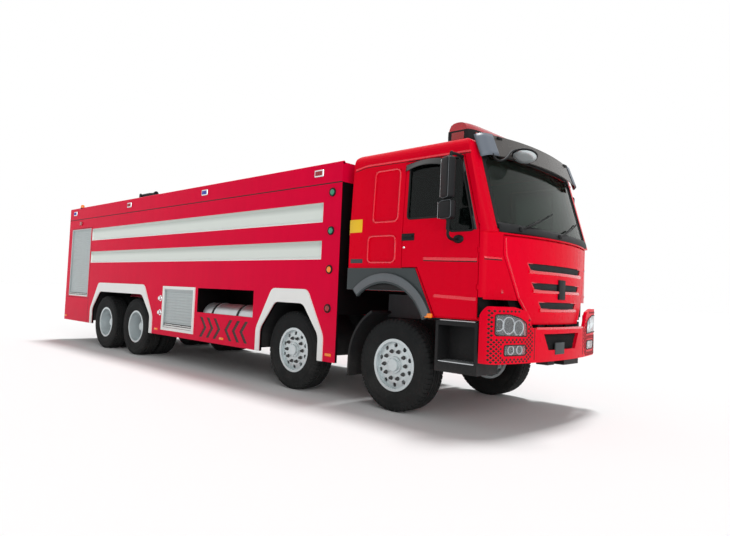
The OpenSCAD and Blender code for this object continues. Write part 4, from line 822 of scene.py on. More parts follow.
nut_circle, cap_circle, nut_count, nut_start = 0.160, 0.088, 10, 0.31
nut_size, nut_height, bolt_size, bolt_height = 0.036, 0.030, 0.013, 0.008
steered_face, twin_face, steered_cap, twin_cap = 0.100, 0.015, 0.118, 0.170
for axle in "1234":
    for side, s in (("r", -1), ("l", 1)):
        steered = axle in "12"
        rim = ("rim_" if steered else "rims_") + axle + side
        centre = middle(rim) * (1, 0, 1)
        wheel_y = (middle("tyre_1l") if steered else middle("tyres_3l"))[1]
        face_y = s * (wheel_y + (steered_face if steered else twin_face))
        cap_y = s * (wheel_y + (steered_cap if steered else twin_cap))
        nuts = round_the_axle(nut(nut_size, nut_height, s), nut_count, nut_circle, nut_start)
        nuts = repeated(nuts, [centre + (0, face_y, 0)])
        bolts = round_the_axle(nut(bolt_size, bolt_height, s), nut_count, cap_circle)
        bolts = repeated(bolts, [centre + (0, cap_y, 0)])
        put("nuts_" + axle + side, nuts, "wheel_" + axle + side, "cast_iron")
        put("hub_bolts_" + axle + side, bolts, "wheel_" + axle + side, "wheel_silver")

# %% [markdown]
# The round lamps at the body's front strip have a black rim and a domed lens. The frame has them as plain
# solids, which the rims stand for. Rim and dome are turned profiles, set on the side plane by one
# function.

# %% Side lamps
def outward(shape, x, z, y=body_y):
    """A shape drawn with z outwards, set on the left side plane at a place along and up."""
    return placed(shape, ((1, 0, 0), (0, 0, -1), (0, 1, 0)), (x, y, z))


round_x = body_front - 0.165
round_lamps = ((1.128, "lamp_lens"), (1.621, "amber_lens"), (2.113, "green_lens"), (2.606, "green_lens"))
rim = lathe([[0.0, -0.012], [0.055, -0.012], [0.056, 0.010], [0.052, 0.017], [0.044, 0.018],
             [0.041, 0.008], [0.0, 0.008]])
dome = lathe([[0.0, 0.028], [0.010, 0.0277], [0.020, 0.0262], [0.030, 0.0225], [0.037, 0.017],
              [0.041, 0.008]])
rims = joined(*[outward(rim, round_x, z) for z, colour in round_lamps])
lamp_rims = put("round_lamp_rims", both_sides(rims), "chassis", "rubber")
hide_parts("body_lamps")
for colour in ("lamp_lens", "amber_lens", "green_lens"):
    domes = joined(*[outward(dome, round_x, z) for z, c in round_lamps if c == colour])
    put("round_" + colour, both_sides(domes), "chassis", colour)

# %% [markdown]
# The parapet's flashers are flat: a bright frame, a coloured block in it, and three ribs on the block. A
# single bevelled box could stand for all three, but then frame and lens would share one finish.

# %% Parapet lamps
parapet_lamps = ((0.425, "lamp_lens"), (3.220, "blue_lens"), (5.985, "lamp_lens"), (8.745, "blue_lens"))
parapet_lamp_z = parapet_top - 0.105
frame_block = rounded_block((0.176, 0.096, 0.030), 0.012)
lens_block = rounded_block((0.140, 0.062, 0.030), 0.010)
rib = rounded_block((0.006, 0.058, 0.012), 0.003, 2)
frames = joined(*[outward(frame_block, body_front - d, parapet_lamp_z, body_y + 0.010)
                  for d, c in parapet_lamps])
put("parapet_lamp_frames", both_sides(frames), "chassis", "chrome")
for colour in ("lamp_lens", "blue_lens"):
    at = [(body_front - d, parapet_lamp_z) for d, c in parapet_lamps if c == colour]
    lenses = joined(*[outward(lens_block, x, z, body_y + 0.016) for x, z in at],
                    *[outward(rib, x + k, z, body_y + 0.030) for x, z in at
                      for k in (-0.035, 0.0, 0.035)])
    put("parapet_" + colour, both_sides(lenses), "chassis", colour)

# %% [markdown]
# Small things along the sides: amber markers on the lower edge, two capped hose outlets, a lamp above the
# rear shutter, beacons on the parapet, and tail lamps. They are blocks and turned profiles, because
# nothing on them is shaped freely.

# %% Small markers, caps, beacons and tail lamps
marker_z = low("body_side_left")[2] + 0.09
marker = rounded_block((0.105, 0.036, 0.018), 0.007, 3)
marker_x = [body_front - 0.12, body_front - 2.53, body_front - 4.64, body_rear + 0.10]
markers = joined(*[outward(marker, x, marker_z, body_y + 0.005) for x in marker_x])
put("side_markers", both_sides(markers), "chassis", "amber_lens")
filler = lathe([[0, 0.0], [0.052, 0.0], [0.052, 0.012], [0.034, 0.014], [0.034, 0.040], [0.028, 0.046],
                [0, 0.046]], 24)
cap_x = first_x - 5.38
put("hose_caps", both_sides(joined(*[outward(filler, cap_x, z) for z in (1.10, 0.85)])), "chassis",
    "chrome")
shutter_lamp = rounded_block((0.13, 0.08, 0.030), 0.012, 3)
shutter_lamp = outward(shutter_lamp, body_rear + 0.69, 2.63, body_y + 0.008)
put("shutter_lamps", both_sides(shutter_lamp), "chassis", "lamp_lens")
beacon_x, beacon_y = body_rear + 0.63, body_y - 0.02
beacon = lathe([[0, 0.088], [0.016, 0.086], [0.029, 0.080], [0.036, 0.067], [0.039, 0.048],
                [0.040, 0.018], [0, 0.018]], 24)
base = lathe([[0.0, 0.0], [0.044, 0.0], [0.044, 0.012], [0.041, 0.019], [0.0, 0.019]], 24)
put("beacon_domes", both_sides(repeated(beacon, [(beacon_x, beacon_y, parapet_top)])), "chassis",
    "amber_lens")
put("beacon_bases", both_sides(repeated(base, [(beacon_x, beacon_y, parapet_top)])), "chassis",
    "black_plastic")
tail_z = 1.12
tail_block = rounded_block((0.045, 0.30, 0.12), 0.014)
tail_at = (body_rear - 0.0205, 1.02, tail_z)
put("tail_lamps", both_sides(repeated(tail_block, [tail_at])), "chassis", "lamp_lens")

# %% [markdown]
# The cab front is bowed in plan and the screen leans back. Trim that lies on these faces needs their
# formula, so each face is a small function: it takes a place across and up, and gives the point of the
# skin there.

# %% Faces of the cab as formulas
bumper_bow, screen_bow, cowl_z = 5.0, 6.0, 2.02
lean = math.radians(17.0)
corner_r = 0.10
screen_foot = cab_front - 0.079


def nose_x(y, front, bow, half, r):
    """Plan of the nose: a wide arc about a far centre, then a round corner that meets it from inside."""
    y = np.abs(np.asarray(y, float))
    yc = half - r
    xc = front - bow + math.sqrt((bow - r) ** 2 - yc ** 2)
    limit = yc * bow / (bow - r)
    arc_x = front - bow + np.sqrt(np.maximum(bow ** 2 - y ** 2, 0))
    corner_x = xc + np.sqrt(np.maximum(r ** 2 - (y - yc) ** 2, 0))
    return np.where(y < limit, arc_x, corner_x)


def panel_point(y, z, out=0.0):
    """A point of the front panel, moved out along X."""
    y, z = np.broadcast_arrays(np.asarray(y, float), np.asarray(z, float))
    return np.stack([nose_x(y, cab_front, panel_bow, cab_y, corner_r) + out, y, z], -1)


def screen_point(y, z, out=0.0):
    """A point of the screen's outer face, moved out square to it: a bowed plan sheared with the height."""
    y, z = np.broadcast_arrays(np.asarray(y, float), np.asarray(z, float))
    plan = nose_x(y, screen_foot, screen_bow, cab_y, corner_r)
    x = plan - (z - cowl_z) * math.tan(lean) + (plan - screen_foot) * (1 / math.cos(lean) - 1)
    return np.stack([x + out * math.cos(lean), y, z + out * math.sin(lean)], -1)


bumper_nose, bumper_half, bend_r = high("front_bumper")[0], high("front_bumper")[1], 0.13


def bumper_point(y, z, out=0.0):
    """A point of the bumper's face, moved out along X."""
    y, z = np.broadcast_arrays(np.asarray(y, float), np.asarray(z, float))
    return np.stack([nose_x(y, bumper_nose, bumper_bow, bumper_half, bend_r) + out, y, z], -1)


def side_y(z):
    """Half width of the cab at a height: upright to the belt, then drawn in."""
    return cab_y - tumble * np.maximum(0, np.asarray(z, float) - belt_z)


def side_point(x, z, out=0.0):
    """A point of the cab's left side."""
    x, z = np.broadcast_arrays(np.asarray(x, float), np.asarray(z, float))
    return np.stack([x, side_y(z) + out, z], -1)


def round_outline(corners, radius, steps=5):
    """A closed outline with rounded corners: each corner becomes an arc, drawn as a quadratic curve."""
    c = np.array(corners, float)
    before, after = np.roll(c, 1, 0) - c, np.roll(c, -1, 0) - c
    a = c + before / np.linalg.norm(before, axis=1)[:, None] * radius
    b = c + after / np.linalg.norm(after, axis=1)[:, None] * radius
    t = np.linspace(0, 1, steps + 1)[None, :, None]
    return ((1 - t) ** 2 * a[:, None] + 2 * t * (1 - t) * c[:, None] + t ** 2 * b[:, None]).reshape(-1, 2)


def filled(outline, count, place):
    """A patch inside an outline: rings that shrink to its middle, carried to a face by a function."""
    share = np.linspace(1.0, 0.0, count)[:, None, None]
    centre = outline.mean(0)
    flat = centre + (outline - centre)[None] * share
    return surface(place(flat[..., 0], flat[..., 1]), wrap_cols=True)


def framed(outer, inner, place, rows=3):
    """A band between two outlines that have as many points, carried to a face."""
    share = np.linspace(0, 1, rows)[:, None, None]
    flat = outer[None] * (1 - share) + inner[None] * share
    return surface(place(flat[..., 0], flat[..., 1]), wrap_cols=True)


print("panel middle", panel_point(0, 1.5).round(3), "screen top", screen_point(0, 2.9).round(3))

# %% [markdown]
# The screen has a black printed border, a rubber seal, a bulging strip along its foot and a dark strip at
# its head. The border is a band between two outlines laid on the glass; painting it in the material would
# blur at the edge.

# %% Windscreen trim
def screen_outline(shrink, radius):
    """The screen's rounded outline, drawn in by some metres."""
    h, low_z, top_z = 1.075 - shrink, cowl_z + 0.034 + shrink, 2.89 - shrink
    return round_outline([(-h, low_z), (h, low_z), (h - 0.024, top_z), (0.024 - h, top_z)], radius, 6)


glass_in = -0.011
border = framed(screen_outline(0.004, 0.05), screen_outline(0.062, 0.07),
                lambda y, z: screen_point(y, z, glass_in + 0.001))
put("screen_border", border, "cab", "rubber")
seal_path = screen_outline(0.006, 0.05)
seal = tube(screen_point(seal_path[:, 0], seal_path[:, 1], -0.004), 0.009, 8, (1, 0, 0), True)
put("screen_seal", seal, "cab", "rubber")
cowl_y, cowl_row = np.meshgrid(np.linspace(-1.065, 1.065, 45), np.linspace(0, 1, 5), indexing="ij")
cowl_drop = cowl_z + 0.105 - 0.103 * cowl_row
cowl_face = screen_point(cowl_y, cowl_drop, 0.004 + 0.012 * np.sin(np.pi * cowl_row))
put("cowl_strip", surface(cowl_face), "cab", "black_plastic", sheet=trim_sheet)
head_y, head_z = np.meshgrid(np.linspace(-1.05, 1.05, 45), np.linspace(2.880, 2.932, 3), indexing="ij")
header = surface(screen_point(head_y, head_z, 0.003))
put("screen_header", header, "cab", "rubber", sheet=trim_sheet)

# %% [markdown]
# Two wipers lie on the foot of the screen. Each has a turned cap on its shaft, an arm that bows away from
# the glass, and a flat blade along it. Both follow the screen's formula, so they touch the glass over
# their whole length.

# %% Wipers
wiper_foot_z, blade_foot_z, cap_foot_z = 2.07, 2.10, 2.055
wiper_up = (1, 0, 0.3)
cap_rows = [[0, 0], [0.026, 0], [0.024, 0.03], [0.014, 0.045], [0, 0.045]]
t = np.linspace(0, 1, 24)
wipers = []
for foot_y, tip_y, tip_z in ((-0.72, 0.06, 2.36), (0.10, 0.86, 2.34)):
    arm_y, arm_z = foot_y + (tip_y - foot_y) * 0.55 * t, wiper_foot_z + (tip_z - wiper_foot_z) * 0.52 * t
    blade_y = foot_y + 0.02 + (tip_y - foot_y) * t
    blade_z = blade_foot_z + (tip_z - blade_foot_z) * t ** 1.15 - 0.02
    arm = screen_point(arm_y, arm_z, 0.022 + 0.02 * np.sin(np.pi * t))
    cap = placed(lathe(cap_rows, 16), np.eye(3), screen_point(foot_y, cap_foot_z, 0.01))
    blade = swept(screen_point(blade_y, blade_z, 0.010), ring(1, 6) * (0.006, 0.014), wiper_up)
    wipers += [tube(arm, 0.009, 8, wiper_up), blade, cap]
put("wipers", joined(*wipers), "cab", "black_plastic")

# %% [markdown]
# The sun visor is a smoked strip above the screen. Grey caps close its ends, clips hold it, and a round
# look-down mirror hangs in front of it on a bent arm.

# %% Visor fittings
visor_lean = math.radians(22.0)
visor_edge, visor_sill, visor_len = high("sun_visor")[0], 2.878, 0.255
visor_half, visor_r = 1.14, 0.16


def visor_point(y, up, out=0.0):
    """A point of the visor: a bowed plan with round ends, tipped back as a whole, so its ends droop."""
    y, up = np.broadcast_arrays(np.asarray(y, float), np.asarray(up, float))
    back_by = nose_x(y, 0.0, screen_bow, visor_half, visor_r) + out
    return np.stack([visor_edge + back_by * math.cos(visor_lean) - up * math.sin(visor_lean), y,
                     visor_sill + back_by * math.sin(visor_lean) + up * math.cos(visor_lean)], -1)


cap_y, cap_up = np.meshgrid(np.linspace(0.90, 1.1195, 15), np.linspace(-0.006, visor_len + 0.006, 7),
                            indexing="ij")
cap = surface(visor_point(cap_y, cap_up, 0.004))
put("visor_caps", both_sides(cap), "cab", "cap_grey", sheet=0.006)
clip = rounded_block((0.02, 0.09, 0.03), 0.007, 3)
clips = joined(*[repeated(clip, [visor_point(y, 0.228, 0.006)]) for y in (-0.795, 0.795)])
put("visor_clips", clips, "cab", "black_plastic")
mirror_c = visor_point(-0.60, -0.01, 0.10)
top_way = np.array([-0.108, 0.338, 0.935])
first_way = np.cross((0, 1, 0), top_way)
first_way /= np.linalg.norm(first_way)
mirror_axes = (first_way, np.cross(top_way, first_way), top_way)
shell_rows = [[0, 0.030], [0.05, 0.029], [0.10, 0.024], [0.13, 0.012], [0.140, 0.0], [0.134, -0.012],
              [0.06, -0.02], [0, -0.02]]
put("look_down_mirror", placed(lathe(shell_rows, 32), mirror_axes, mirror_c), "cab", "black_plastic")
pane = lathe([[0, -0.0225], [0.062, -0.0225], [0.126, -0.0150]], 32)
put("look_down_pane", placed(pane, mirror_axes, mirror_c), "cab", "wheel_silver",
    sheet=trim_sheet)
bent_route = [(-1.0, 0.012, 0.0), (-1.0, -0.055, 0.01), (-0.98, -0.095, 0.04), (-0.91, -0.07, 0.07),
              (-0.82, 0.005, 0.09), (-0.72, 0.04, 0.10), (-0.625, 0.015, 0.10)]
arm = smooth_path([visor_point(*place) for place in bent_route], 40)
put("look_down_arm", tube(arm, 0.012, 8, (0, 0, 1)), "cab", "black_plastic")

# %% [markdown]
# The light bar: a black base on two feet, and a long red lens with sloping faces over it. A row of red
# lamps is set in the base's front and back, and one in each end. A straight box would be simpler, but the
# bar narrows at its ends, so its cross-section is carried across the roof and shrinks there.

# %% Light bar
bar_low, bar_high = low("light_bar"), high("light_bar")
bar_mid = (bar_low + bar_high) / 2
bar_half = bar_high[1]
bar_deep = bar_high[0] - bar_low[0]


def bar_profile(rows):
    """A cross-section as [along X, up], carried across the roof and drawn in towards the two ends."""
    s = np.linspace(-1, 1, 25)[:, None]
    shrink = 1 - 0.22 * np.abs(s) ** 8
    q = np.array(rows, float)
    x = bar_mid[0] + q[None, :, 0] * bar_deep / 2 * shrink
    z = bar_low[2] + 0.055 + (q[None, :, 1]) * (1 - 0.06 * np.abs(s) ** 8)
    points = np.stack([x, np.broadcast_to(s * bar_half, x.shape), z], -1)
    return surface(points, wrap_cols=True, caps=True)


half_lens = [(0.90, 0.166), (0.86, 0.195), (0.72, 0.235), (0.45, 0.257), (0.15, 0.264)]
lens_rows = [(-0.90, 0.166)] + half_lens + [(-x, z) for x, z in half_lens[:0:-1]]
half_base = [(0.90, 0.0), (0.98, 0.02), (1.0, 0.09), (0.985, 0.165)]
base_rows = [(-0.90, 0.0)] + half_base + [(-x, z) for x, z in half_base[:0:-1]]
bar_lens = put("light_bar_lens", bar_profile(lens_rows), "cab", "beacon_lens")
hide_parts("light_bar")
foot_y, foot_size, foot_z = 0.54, (0.230, 0.12, 0.060), bar_low[2] + 0.030
feet = repeated(rounded_block(foot_size, 0.008), [(bar_mid[0], k * foot_y, foot_z) for k in (-1, 1)])
put("light_bar_base", joined(bar_profile(base_rows), feet), "cab", "black_plastic")
pod_z = bar_low[2] + 0.145
pod_x, pod_y = bar_deep / 2 * 0.99, np.arange(-3, 4) * 0.19
pods = [(bar_mid[0] + k * pod_x, y, pod_z) for y in pod_y for k in (-1, 1)]
front_pods = repeated(rounded_block((0.014, 0.15, 0.085), 0.006, 3), pods)
end_at = [(bar_mid[0], k * (bar_half + 0.001), pod_z) for k in (-1, 1)]
end_pods = repeated(rounded_block((0.17, 0.010, 0.090), 0.004, 3), end_at)
put("light_bar_pods", joined(front_pods, end_pods), "cab", "lamp_lens")

# %% [markdown]
# Side of the cab: a gutter under the roof edge with a dark seam, raised beads round the two pressed
# panels, and a plain yellow sheet and a bare plate at the rear edge. They come in pairs, so each is drawn
# on the left and mirrored.

# %% Cab side trim
gutter_x = np.linspace(cab_rear + 0.03, first_x + 0.99, 30)
gutter_z = np.interp(gutter_x, [cab_rear, first_x - 0.50, first_x + 0.99], [2.845, 2.885, 2.872])
gutter = swept(side_point(gutter_x, gutter_z, 0.004), ring(1, 8) * (0.012, 0.007), (0, 1, 0))
put("cab_gutters", both_sides(gutter), "cab", "edge_paint")
seam = swept(side_point(gutter_x, gutter_z - 0.018, 0.0005), flat_line(0.006, 0.001), (0, 1, 0))
put("cab_gutter_seams", both_sides(seam), "cab", "rubber")
beads = []
for xa, xb, za, zb in ((-0.34, 0.05, 2.18, 2.79), (-0.40, 0.03, 1.705, 2.015)):
    corners = [(xa, za), (xb, za), (xb, zb), (xa, zb)]
    o = round_outline([(first_x + x, z) for x, z in corners], 0.07, 6)
    beads.append(tube(side_point(o[:, 0], o[:, 1], 0.002), 0.011, 8, (0, 1, 0), True))
put("pressed_beads", both_sides(joined(*beads)), "cab", "edge_paint")
sheet_at, plate_at = (first_x - 0.62, 2.14), (first_x - 0.585, 1.725)
yellow = outward(rounded_block((0.21, 0.185, 0.003), 0.001, 2), *sheet_at, side_y(sheet_at[1]) + 0.0012)
put("yellow_sheets", both_sides(yellow), "cab", "yellow_sheet")
bare_plate = outward(rounded_block((0.20, 0.05, 0.003), 0.001, 2), *plate_at, cab_y + 0.0012)
put("bare_plates", both_sides(bare_plate), "cab", "grey_plastic")

# %% [markdown]
# The wheel flare: a rounded bead runs along the fender plate's arch, its pale grey partly the trim's own
# grey and partly a painted highlight; the plate below the arch is covered by a dark sheet as painted
# shade, and an amber marker sits at the bead's front end. The bead is an oval carried along an arc.

# %% Wheel flares
repeater = outward(rounded_block((0.10, 0.05, 0.03), 0.012, 3), first_x + 0.555, 1.13, cab_y + 0.028)
put("flare_markers", both_sides(repeater), "cab", "amber_lens")
flare_x, flare_z, plate_z = first_x - 0.10, 0.854, 1.390
flare_r, shade_r, shade_half = 0.679, 0.616, 0.305
a = np.radians(np.linspace(23, 132, 40))
arc = np.stack([flare_x + flare_r * np.cos(a), np.full(len(a), cab_y + 0.034),
                flare_z + flare_r * np.sin(a)], -1)
bead = swept(arc, ring(1, 10) * (0.046, 0.012), (0, 1, 0))
# Partly painted highlight: the bead's pale grey.
put("flare_beads", both_sides(bead), "cab", "flare_grey")
reach, lift = np.meshgrid(np.linspace(-shade_half, shade_half, 31), np.linspace(0, 1, 4), indexing="ij")
arc_z = flare_z + np.sqrt(shade_r ** 2 - reach ** 2)
well = np.stack([flare_x + reach, np.full(reach.shape, cab_y + 0.0135),
                 plate_z + lift * (arc_z - plate_z)], -1)
# Painted shade: a dark sheet over the plate below the arch.
put("flare_shades", both_sides(surface(well)), "cab", "rubber", sheet=trim_sheet)

# %% [markdown]
# What sits on a door swings with it, so each side is a piece of its own. The window has a rubber seal, a
# post and a dark quarter pane, and a smoked rain shield bulges over it. All lie on the side face's
# formula and follow its drawn-in top.

# %% Door windows
window = [(0.185, 2.825), (0.185, 2.195), (0.720, 2.195), (0.772, 2.030), (1.078, 2.030), (0.862, 2.825)]
quarter = [(1.076, 2.036), (1.113, 2.036), (0.897, 2.822), (0.860, 2.822)]
o = round_outline([(first_x + x, z) for x, z in window], 0.045, 5)
seal = tube(side_point(o[:, 0], o[:, 1], -0.002), 0.011, 8, (0, 1, 0), True)
post_line = side_point(np.full(8, first_x + 0.735), np.linspace(2.05, 2.81, 8), -0.010)
post = swept(post_line, ring(1, 8) * (0.012, 0.018), (0, 1, 0))
o = round_outline([(first_x + x, z) for x, z in quarter], 0.012, 4)
quarter_face = filled(o, 3, lambda x, z: side_point(x, z, 0.0012))
u, v = np.meshgrid(np.linspace(0, 1, 25), np.linspace(0, 1, 7), indexing="ij")
shield_x = first_x + 0.13 + 0.62 * u
shield_z = 2.765 + 0.055 * np.sin(np.pi * np.clip(u * 0.85 + 0.08, 0, 1)) + 0.075 * (v - 0.5)
bulge = 0.012 + 0.045 * (1 - v) * np.sin(np.pi * np.clip(u * 0.9 + 0.05, 0, 1))
shield = surface(side_point(shield_x, shield_z, bulge))
for side, s in sides_of:
    door = "door_" + side
    put("window_seal_" + side, on_side(joined(seal, post), s), door, "rubber")
    put("window_quarter_" + side, on_side(quarter_face, s), door, "smoked",
        sheet=trim_sheet)
    put("rain_shield_" + side, on_side(shield, s), door, "smoked", sheet=0.004)

# %% [markdown]
# Handle, lock and the two pressed creases of each door. A crease is a low oval bead half sunk in the
# skin, and the upper one has a dark groove under it, because the frame's door is smooth.

# %% Door trim
dish = block((first_x + 0.120, cab_y - 0.002, 1.950), (first_x + 0.300, cab_y + 0.008, 2.030), 0.004)
pull = block((first_x + 0.135, cab_y + 0.006, 1.985), (first_x + 0.285, cab_y + 0.030, 2.012), 0.009)
lock_rows = [[0, 0.006], [0.010, 0.006], [0.014, 0.003], [0.015, 0]]
lock = outward(lathe(lock_rows, 18), first_x + 0.155, 1.875, cab_y)
crease_end = 1.128
t = np.linspace(0, 1, 20)
lines = []
for za, zb, xa in ((1.745, 1.728, 0.44), (1.345, 1.325, 0.60)):
    lines.append((first_x + xa + (crease_end - xa) * t, za + (zb - za) * t))
creases = [swept(side_point(x, z, -0.004), ring(1, 10) * (0.020, 0.010), (0, 1, 0)) for x, z in lines]
upper_x, upper_z = lines[0]
groove = swept(side_point(upper_x, upper_z - 0.021, 0.0), ring(1, 8) * (0.006, 0.002), (0, 1, 0))
for side, s in sides_of:
    door = "door_" + side
    put("door_handle_" + side, on_side(joined(dish, pull), s), door, "black_plastic")
    put("door_lock_" + side, on_side(lock, s), door, "chrome")
    put("door_creases_" + side, on_side(joined(*creases), s), door, "edge_paint")
    put("door_grooves_" + side, on_side(groove, s), door, "rubber")

# %% [markdown]
# Mirrors: each door carries a tall mirror and a square wide-angle one on a bent tube. The frame has their
# outline as blocks. The heads here are rounded blocks with a silvered face to the rear and a pale edge
# line.

# %% Mirrors
mirror_x, mirror_y = first_x + 0.890, cab_y + 0.185
mirror_heads = ((2.5625, 0.165, 0.10, 0.435, 24), (2.230, 0.200, 0.09, 0.190, 12))
heads, glasses, edges = [], [], []
for mz, sx, sy, sz, angle in mirror_heads:
    c, d = math.cos(math.radians(angle)), math.sin(math.radians(angle))
    axes = ((c, d, 0), (-d, c, 0), (0, 0, 1))
    at = (mirror_x - 0.025, mirror_y, mz)
    heads.append(placed(rounded_block((sx, sy, sz), 0.035, 5), axes, at))
    pane = rounded_block((0.004, sy * 0.86, sz * 0.9), 0.0015, 2)
    glasses.append(placed(repeated(pane, [(-sx / 2, 0, 0)]), axes, at))
    rear, front, half = -sx / 2 + 0.02, sx / 2, sz / 2
    o = round_outline([(rear, -half), (front, -half), (front, half), (rear, half)], 0.03, 5)
    line = np.stack([o[:, 0], np.full(len(o), sy / 2 - 0.006), o[:, 1]], -1) * (0.96, 1, 0.97)
    edges.append(placed(tube(line, 0.0025, 6, (0, 1, 0), True), axes, at))
arm_route = [(0.01, 1.945), (0.10, 1.930), (0.185, 1.965), (0.185, 2.10), (0.185, 2.76), (0.155, 2.815),
             (0.08, 2.824), (-0.03, 2.822)]
arm = smooth_path([(mirror_x, cab_y + out, z) for out, z in arm_route], 60)
foot_rows = [[0, 0.03], [0.02, 0.029], [0.036, 0.02], [0.045, 0.004], [0.045, 0], [0, 0]]
foot = placed(lathe(foot_rows, 24), ((1.5, 0, 0), (0, 0, -1), (0, 1, 0)), (mirror_x, cab_y, 1.945))
heads += [tube(arm, 0.016, 10, (0.3, 0.2, 1)), foot]
for side, s in sides_of:
    door = "door_" + side
    made = put("mirror_heads_" + side, on_side(joined(*heads), s), door, "black_plastic")
    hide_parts("mirrors_" + side)
    put("mirror_panes_" + side, on_side(joined(*glasses), s), door, "chrome")
    put("mirror_lines_" + side, on_side(joined(*edges), s), door, "flare_grey")

# %% [markdown]
# Headlamps: each cluster has three deep round reflectors behind one clear cover, and a pair of fog lamps
# sits below. A reflector is a parabola turned round its axis, and the cover is a patch laid on the
# bumper's curve.

# %% Headlamps
head_lamp = [(0.735, 0.967), (1.190, 0.977), (1.190, 1.182), (1.000, 1.182), (0.850, 1.150),
             (0.750, 1.100)]
fog_lamp = [(0.750, 0.776), (1.075, 0.776), (1.075, 0.876), (0.750, 0.876)]
r = np.linspace(0, 1, 9)


def reflector(y, z, radius, depth):
    """A bowl, as deep as one minus the square of the radius' share, with a bulb in its middle."""
    bowl = np.stack([radius * r, -depth * (1 - r ** 2)], -1)
    bulb = [[0, -depth * 0.35], [0.010, -depth * 0.4], [0.013, -depth * 0.6], [0.010, -depth]]
    facing = ((0, 1, 0), (0, 0, 1), (1, 0, 0))
    at = bumper_point(y, z, -0.028)
    return joined(placed(lathe(bowl[::2], 14), facing, at), placed(lathe(bulb, 14), facing, at))


def lamp_outline(corners, shrink=0.0, radius=0.026):
    """A lamp's rounded outline, drawn in towards its middle by some metres."""
    c = np.array(corners)
    mid, span = (c.min(0) + c.max(0)) / 2, np.ptp(c, axis=0)
    return round_outline(mid + (c - mid) * (1 - 2 * shrink / span), radius, 5)


both_lamps = (head_lamp, fog_lamp)
bowl_at = ((0.835, 1.052, 0.074, 0.058), (0.985, 1.075, 0.084, 0.060), (1.120, 1.080, 0.058, 0.050),
           (0.815, 0.826, 0.042, 0.035), (0.945, 0.826, 0.042, 0.035))
bowls = [reflector(*b) for b in bowl_at]
a = np.arange(28) * 2 * np.pi / 28
lips = [tube(bumper_point(y + rr * np.cos(a), z + rr * np.sin(a), -0.026), 0.006, 8, (1, 0, 0), True)
        for y, z, rr, d in bowl_at]
trays = [filled(lamp_outline(c, 0.001), 5, lambda y, z: bumper_point(y, z, -0.034)) for c in both_lamps]
bowl_piece = put("lamp_bowls", both_sides(joined(*bowls, *lips)), "chassis", "reflector",
                 sharp=8)
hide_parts("head_lamps")
put("lamp_trays", both_sides(joined(*trays)), "chassis", "black_plastic", sheet=trim_sheet)
covers = [filled(lamp_outline(c, 0.0005), 9, lambda y, z: bumper_point(y, z, 0.003)) for c in both_lamps]
put("lamp_covers", both_sides(joined(*covers)), "chassis", "lamp_glass", sheet=0.003, sheet_side=-1.0)
outlines = [lamp_outline(c, -0.002) for c in both_lamps]
trims = [tube(bumper_point(o[:, 0], o[:, 1], 0.001), 0.006, 8, (1, 0, 0), True) for o in outlines]
put("lamp_trims", both_sides(joined(*trims)), "chassis", "rubber")

# %% [markdown]
# The bumper corners carry a lattice of small dark diamonds round the lamps. One diamond is a low stud;
# the rows are laid on the bumper's curve, and those that would fall on a lamp are left out by a test on
# the whole array.

# %% Bumper lattice
pitch_y, pitch_z, stud = 0.056, 0.044, 0.0035
iy, iz = np.meshgrid(np.arange(44), np.arange(44), indexing="ij")
sy = 0.616 + pitch_y * 0.5 * iy
sz = 0.712 + pitch_z * 0.5 * iz
keep = (iy + iz) % 2 == 0
for c in both_lamps:
    (ya, za), (yb, zb) = np.min(c, 0) - 0.022, np.max(c, 0) + 0.022
    keep &= ~((sy > ya) & (sy < yb) & (sz > za) & (sz < zb))
keep &= (sy > 0.630 + 0.30 * np.clip(0.86 - sz, 0, 1)) & (sy < bumper_half + 0.040)
notch_z = np.interp(sy, [0.64, 0.74, 0.94, 1.3], [1.030, 1.200, 1.240, 1.240])
keep &= sz < notch_z
py, pz = sy[keep], sz[keep]


def round_corner(run):
    """Half width at a length run along the face: straight to the corner's start, then round it by the
    sine of the angle turned."""
    start = bumper_half - bend_r
    turned = np.clip((run - start) / bend_r, 0, np.pi / 2)
    return np.where(run < start, run, start + bend_r * np.sin(turned))


around = np.array([[1, 0], [0, 1], [-1, 0], [0, -1]]) * (pitch_y * 0.34, pitch_z * 0.34)
feet_at = bumper_point(round_corner(py[:, None] + around[:, 0]), pz[:, None] + around[:, 1], -0.0005)
at_tip = around * 0.45
tips_at = bumper_point(round_corner(py[:, None] + at_tip[:, 0]), pz[:, None] + at_tip[:, 1], stud)
studs = np.concatenate([feet_at, tips_at], 1)
start = (np.arange(len(py)) * 8)[:, None, None]
sides4 = np.array([[k, (k + 1) % 4, 4 + (k + 1) % 4, 4 + k] for k in range(4)] + [[4, 5, 6, 7]])
lattice = (studs.reshape(-1, 3), [(sides4[None] + start).reshape(-1, 4)])
put("bumper_lattice", both_sides(lattice), "chassis", "rubber", sharp=20)
print("lattice studs", 2 * len(py))

# %% [markdown]
# The bumper is pressed in three parts: a dark joint runs down beside each corner, and a rounded ledge
# edges the middle part's top. The ledge is an oval carried along the bowed face.

# %% Bumper joints and ledge
joint_line = flat_line(0.010, 0.0008)
joint = swept(bumper_point(np.full(8, 0.600), np.linspace(0.722, 1.055, 8)), joint_line, (1, 0, 0))
put("bumper_joints", both_sides(joint), "chassis", "rubber")
bead_y = np.linspace(-0.57, 0.57, 41)
ledge = swept(bumper_point(bead_y, np.full(41, 1.045), -0.004), ring(1, 12) * (0.013, 0.011), (1, 0, 0))
put("bumper_ledge", ledge, "chassis", "edge_paint")

# %% [markdown]
# A grey wire mesh fills the three slots of the front panel. Crossed wires are tubes carried along the
# bowed face; a flat plate alone would look painted on. Each slot has a rounded lip and a ledge under it.

